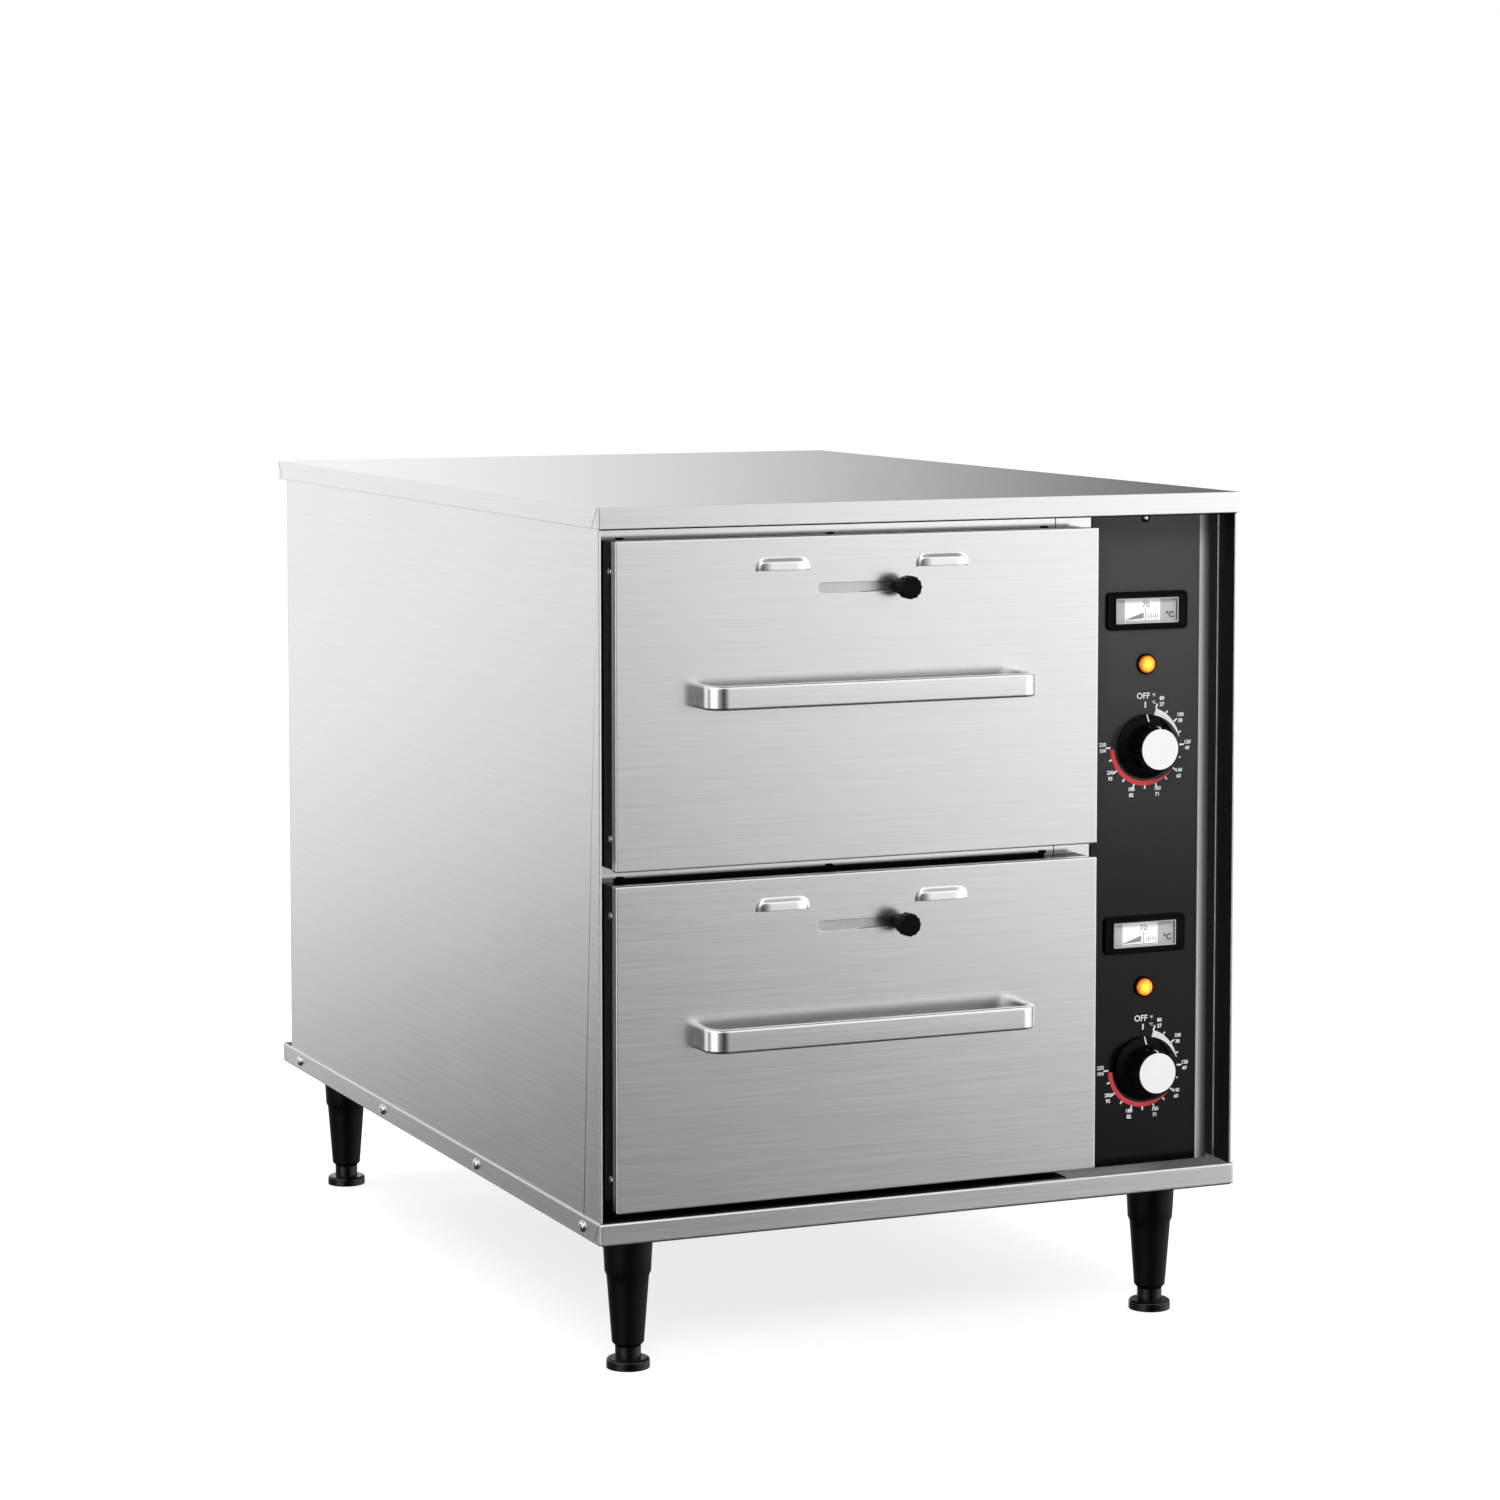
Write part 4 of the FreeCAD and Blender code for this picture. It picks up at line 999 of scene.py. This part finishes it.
def thermometer_print(which):
    """The printed scale behind a thermometer's window."""
    z = middle(which + "_thermometer_bezel").z
    centre = CONTROL_X + SCALE_SHIFT
    back = PANEL_FACE + CARD_DEPTH
    front = back - INK
    over = front - INK
    white, dark, grey, maroon = range(4)
    left, wedge_end = centre - 18.4, centre - 3.4
    bm = bmesh.new()
    block(bm, centre - 19.0, centre + 10.4, z - 8.6, z + 8.6, front, back, white)
    under, upper = [(left, z - 6.9), (wedge_end, z - 5.9)], [(left, z - 6.6), (wedge_end, z - 1.6)]
    slab(bm, under, upper, over, front, grey)
    block(bm, centre - 1.85, centre - 1.45, z - 7.4, z + 1.6, over, front, dark)
    for k in range(5):
        x = centre + 0.8 + 1.9 * k
        block(bm, x - 0.22, x + 0.22, z - 5.8, z - (2.2 if k % 2 else 3.4), over, front, dark)
    block(bm, left, centre + 9.8, z - 8.1, z - 7.75, over, front, dark)
    lettering(bm, "70", 6.2, centre - 1.6, z + 4.0, over, dark)
    lettering(bm, "°C", 6.0, centre + 18.2, z - 4.0, over, maroon, weight=0.3)
    looks = [white_ink, dark_ink, grey_ink, maroon_ink]
    finish_piece(which + "_thermometer_print", bm, "cabinet", "dial_card", looks=looks)


def rounded_rectangle(x, z, width, height, radius):
    """An outline (x, z) with round corners."""
    points = []
    for k_corner, (side_x, side_z) in enumerate(((1, 1), (-1, 1), (-1, -1), (1, -1))):
        corner_x = x + side_x * (width / 2 - radius)
        corner_z = z + side_z * (height / 2 - radius)
        for k in range(7):
            turn = math.radians(90 * k_corner + 15 * k)
            points.append((corner_x + radius * math.cos(turn), corner_z + radius * math.sin(turn)))
    return points


def framed(name, x, z, levels, look, slot, replaced=()):
    """A moulded frame from (width, height, corner radius, y) outlines, from its outer back edge over its
    lip to its inner back edge."""
    bm = bmesh.new()
    rings = []
    for width, height, radius, y in levels:
        outline = rounded_rectangle(x, z, width, height, radius)
        rings.append(corners(bm, [(px, y, pz) for px, pz in outline]))
    skin(bm, rings + rings[:1], ends=False)
    finish_piece(name, bm, "cabinet", slot, replaced, [look])


def thermometer_frame(which):
    """The black bezel with its raised lip, and the pale rim round its window."""
    node = which + "_thermometer_bezel"
    low, high = span(node)
    width, height = high.x - low.x, high.z - low.z
    x, z = (high.x + low.x) / 2, (high.z + low.z) / 2
    front, seat = low.y, PANEL_FACE + 1.0
    window_width, window_height = 52.0, 20.5
    levels = (
        (width, height, 3.6, PANEL_FACE),
        (width, height, 3.6, front + 1.2),
        (width - 0.7, height - 0.7, 3.4, front + 0.4),
        (width - 1.9, height - 1.9, 3.0, front),
        (width - 4.4, height - 3.2, 2.6, front + 0.05),
        (width - 5.6, height - 4.0, 2.2, front + 0.7),
        (window_width + 3.6, window_height + 1.5, 1.6, front + 0.8),
        (window_width + 1.6, window_height - 0.6, 1.3, front + 0.5),
        (window_width - 0.4, window_height - 2.0, 1.0, front + 0.7),
        (window_width - 0.4, window_height - 2.0, 1.0, seat),
        (width - 4.0, height - 2.4, 1.0, seat),
        (width - 4.0, height - 2.4, 1.0, PANEL_FACE),
    )
    black = materials["black_plastic"]
    framed(which + "_thermometer_surround", x, z, levels, black, "black_plastic", [node])
    lens = span(which + "_thermometer_lens")[0].y
    rim = (
        (window_width, window_height - 1.4, 1.0, lens),
        (window_width, window_height - 1.4, 1.0, lens - 0.25),
        (window_width - 1.5, window_height - 3.1, 0.8, lens - 0.25),
        (window_width - 1.8, window_height - 3.4, 0.8, lens),
    )
    framed(which + "_window_rim", x, z, rim, pale_rim, "dial_card")


def ribbed_lens(which):
    """A round lens with upright ribs in its front, which fade out towards its rounded rim."""
    bm = bmesh.new()
    front, seat, back = PANEL_FACE - 4.2, PANEL_FACE - 0.6, PANEL_FACE + 4.4
    count, steps, stem = 96, 26, 5.0
    pitch, depth, crown = 1.15, 0.32, 1.1
    turns = [2 * math.pi * k / count for k in range(count)]
    rings = []
    for step in range(1, steps + 1):
        share = step / steps
        curve = crown * max(0.0, (share - 0.72) / 0.28) ** 2
        fade = max(0.0, min(1.0, (0.8 - share) / 0.12))
        points = []
        for turn in turns:
            x, up = LENS_RADIUS * share * math.cos(turn), LENS_RADIUS * share * math.sin(turn)
            rib = depth * fade * (0.5 - 0.5 * math.cos(2 * math.pi * x / pitch))
            points.append((x, front + curve + rib, up))
        rings.append(corners(bm, points))
    for reach, y in ((LENS_RADIUS, seat), (stem, seat), (stem, back)):
        rings.append(corners(bm, [(reach * math.cos(turn), y, reach * math.sin(turn)) for turn in turns]))
    centre = bm.verts.new(Vector((0, front, 0)) * MM)
    for k in range(count):
        bm.faces.new((centre, rings[0][k], rings[0][(k + 1) % count]))
    skin(bm, rings, ends=False)
    bm.faces.new(rings[-1])
    place = Vector((CONTROL_X, 0, middle(which + "_lamp_lens").z)) * MM
    replaced = [which + "_lamp_lens"]
    finish_piece(which + "_lamp_ribbed_lens", bm, "cabinet", "amber_lens", replaced, origin=place)


for which in BOTH:
    dial_print(which)
    knob_lines(which)
    thermometer_print(which)
    thermometer_frame(which)
    ribbed_lens(which)


# ------ corner seams


def corner_seams(name, node):
    """The slanted joints at the corners of a folded tray, as fine dark lines on its side flanges."""
    low, high = span(node)
    bm = bmesh.new()
    width, proud, sunk = 0.7, 0.04, 0.05
    for side, x in ((-1, low.x), (1, high.x)):
        for end, y in ((-1, low.y), (1, high.y)):
            top, bottom = (y - end * 1.2, high.z - 0.5), (y - end * 11.5, low.z + 0.3)
            rings = []
            for out in (side * proud, -side * sunk):
                points = []
                for (py, pz), shift in ((top, 0), (top, width), (bottom, width), (bottom, 0)):
                    points.append((x + out, py - end * shift, pz))
                rings.append(corners(bm, points))
            skin(bm, rings)
    finish_piece(name, bm, "cabinet", "stainless", looks=[seam_dark])


corner_seams("cap_corner_seams", "top_cap")
corner_seams("base_corner_seams", "base_tray")


# ------ studio

# Brightness by bearing in degrees from the rear (0) through the right (90), and by height in degrees above
# the horizon.
WALLS = (
    (-180, 0.2), (-176, 0.05), (-164, 0.05), (-158, 0.6), (-140, 1.3), (-88, 1.3), (-60, 0.75),
    (-32, 0.6), (-24, 0.85), (-17, 1.05), (16, 1.0), (24, 0.6), (32, 0.12), (50, 0.14), (80, 0.7),
    (125, 1.4), (145, 1.45), (150, 1.04), (153, 1.13), (156, 1.1), (158, 0.92), (160, 0.72), (176, 0.4),
    (180, 0.2),
)
LEVELS = (
    (-90, 0.03), (-42, 0.03), (-30, 0.2), (-13, 0.27), (-10, 0.6), (-7, 0.85), (-4, 1.0), (44, 1.0),
    (60, 0.2), (90, 0.2),
)


def only_glossy(obj):
    for ray in ("camera", "diffuse", "transmission", "volume_scatter", "shadow"):
        setattr(obj, "visible_" + ray, False)


def bare_look(name, obj):
    """A new material on an object with nothing but an output, as (its tree, the output's surface)."""
    look = bpy.data.materials.new(name)
    look.use_nodes = True
    look.node_tree.nodes.clear()
    obj.data.materials.append(look)
    output = add(look.node_tree, "ShaderNodeOutputMaterial")
    return look.node_tree, output.inputs["Surface"]


def seen_directly(tree):
    """1 for what the camera sees by itself, in a mirror or through glass, and 0 for light on the object."""
    path = add(tree, "ShaderNodeLightPath").outputs
    through = math_node(tree, "MAXIMUM", path["Is Glossy Ray"], path["Is Transmission Ray"])
    return math_node(tree, "MAXIMUM", path["Is Camera Ray"], through)


def studio_dome():
    """The soft surround that metal and gloss mirror: a band of pale walls with dark gaps."""
    bm = bmesh.new()
    bmesh.ops.create_icosphere(bm, subdivisions=4, radius=9.0)
    dome = as_object(bm, "studio_dome")
    dome.location = (0, 0, 0.3)
    only_glossy(dome)
    tree, surface = bare_look("studio_walls", dome)
    away = add(tree, "ShaderNodeVectorMath", {0: position(tree)}, operation="NORMALIZE").outputs[0]
    way = axes(tree, away)
    bearing = math_node(tree, "ARCTAN2", way["X"], way["Y"])
    turn = plus(tree, math_node(tree, "DIVIDE", bearing, 2 * math.pi), 0.5)
    wall = ramp(tree, turn, [(degrees / 360 + 0.5, value) for degrees, value in WALLS])
    leaning = {0: away, 1: (0.25, 0.118, 1.0)}
    tilt = add(tree, "ShaderNodeVectorMath", leaning, operation="DOT_PRODUCT")
    height = plus(tree, times(tree, tilt.outputs["Value"], 0.5), 0.49)
    heights = [(math.sin(math.radians(degrees)) / 2 + 0.5, value) for degrees, value in LEVELS]
    mixed = add(tree, "ShaderNodeMix", data_type="RGBA", blend_type="MULTIPLY")
    feed(mixed, {"Factor": 1.0, "A": wall, "B": ramp(tree, height, heights)})
    light = add(tree, "ShaderNodeEmission", {"Color": mixed.outputs["Result"], "Strength": 1.12})
    link(light.outputs[0], surface)


studio_dome()


def mirrored_card(name, bearing, distance, half_width, low, high, strength):
    """An upright white card round the object, seen only in its mirror images."""
    bm = bmesh.new()
    turn = math.radians(bearing)
    out, aside = Vector((math.sin(turn), math.cos(turn), 0)), Vector((math.cos(turn), -math.sin(turn), 0))
    outline = rectangle(-half_width, half_width, low, high)
    bm.faces.new([bm.verts.new(out * distance + aside * x + Vector((0, 0, z))) for x, z in outline])
    card = as_object(bm, name)
    only_glossy(card)
    tree, surface = bare_look(name + "_light", card)
    link(add(tree, "ShaderNodeEmission", {"Strength": strength}).outputs[0], surface)


mirrored_card("front_card", 176.0, 5.6, 3.4, 2.9, 6.2, 1.6)
mirrored_card("left_card", -116.0, 6.0, 2.3, -1.6, 1.9, 1.5)


def floor():
    """A pale ground that takes the object's shadow and looks white behind it."""
    bm = bmesh.new()
    size = 30.0
    bm.faces.new([bm.verts.new((x * size, y * size, 0)) for x, y in SQUARE])
    ground = as_object(bm, "floor")
    ground.visible_glossy = False
    tree, surface = bare_look("pale_floor", ground)
    tint = ramp(tree, noise(tree, 3.0), [(0.3, 0.86), (0.7, 0.88)])
    paint = add(tree, "ShaderNodeBsdfDiffuse", {"Color": tint})
    thin = add(tree, "ShaderNodeBsdfDiffuse", {"Color": (0.5, 0.5, 0.5, 1)})
    lift = add(tree, "ShaderNodeEmission", {"Color": (1, 1, 1, 1), "Strength": 0.78})
    both = add(tree, "ShaderNodeAddShader", {0: thin.outputs[0], 1: lift.outputs[0]})
    shown = {0: seen_directly(tree), 1: paint.outputs[0], 2: both.outputs[0]}
    link(add(tree, "ShaderNodeMixShader", shown).outputs[0], surface)


floor()

world = bpy.data.worlds.new("white_room")
scene.world = world
world.use_nodes = True
sky = world.node_tree
sky.nodes.clear()
sky_strength = spread(sky, seen_directly(sky), 0.5, 1.0, 0.0, 1.0)
sky_light = add(sky, "ShaderNodeBackground", {"Color": (1, 1, 1, 1), "Strength": sky_strength})
add(sky, "ShaderNodeOutputWorld", {"Surface": sky_light.outputs[0]})


def soft_lamp(name, place, aim, size, power):
    lamp = bpy.data.lights.new(name, "AREA")
    settle(lamp, shape="RECTANGLE", size=size[0], size_y=size[1], energy=power)
    obj = bpy.data.objects.new(name, lamp)
    obj.location = place
    obj.rotation_euler = (Vector(place) - Vector(aim)).to_track_quat("Z", "Y").to_euler()
    obj.visible_glossy = False
    scene.collection.objects.link(obj)


soft_lamp("key_lamp", (-2.2, -4.2, 3.4), (0, 0, 0.35), (2.4, 1.8), 120)
soft_lamp("top_lamp", (0.2, 0.6, 4.6), (0, 0, 0.3), (3.0, 3.0), 70)
soft_lamp("rear_lamp", (2.4, 4.4, 2.6), (0, 0, 0.3), (2.4, 1.8), 60)


# ------ camera

camera_data = bpy.data.cameras.new("photo_camera")
settle(camera_data, sensor_width=36.0, lens=99.68, shift_y=-0.1, clip_start=0.05, clip_end=100.0)
camera = bpy.data.objects.new("photo_camera", camera_data)
scene.collection.objects.link(camera)
azimuth, elevation = math.radians(-23.5), math.radians(4.625)
back_way = Vector(
    (math.sin(azimuth) * math.cos(elevation), -math.cos(azimuth) * math.cos(elevation), math.sin(elevation))
)
camera.location = (-1.2828, -2.988, 0.7785)
camera.rotation_mode = "QUATERNION"
camera.rotation_quaternion = (-back_way).to_track_quat("-Z", "Y")
scene.camera = camera

scene.view_settings.view_transform = "Standard"
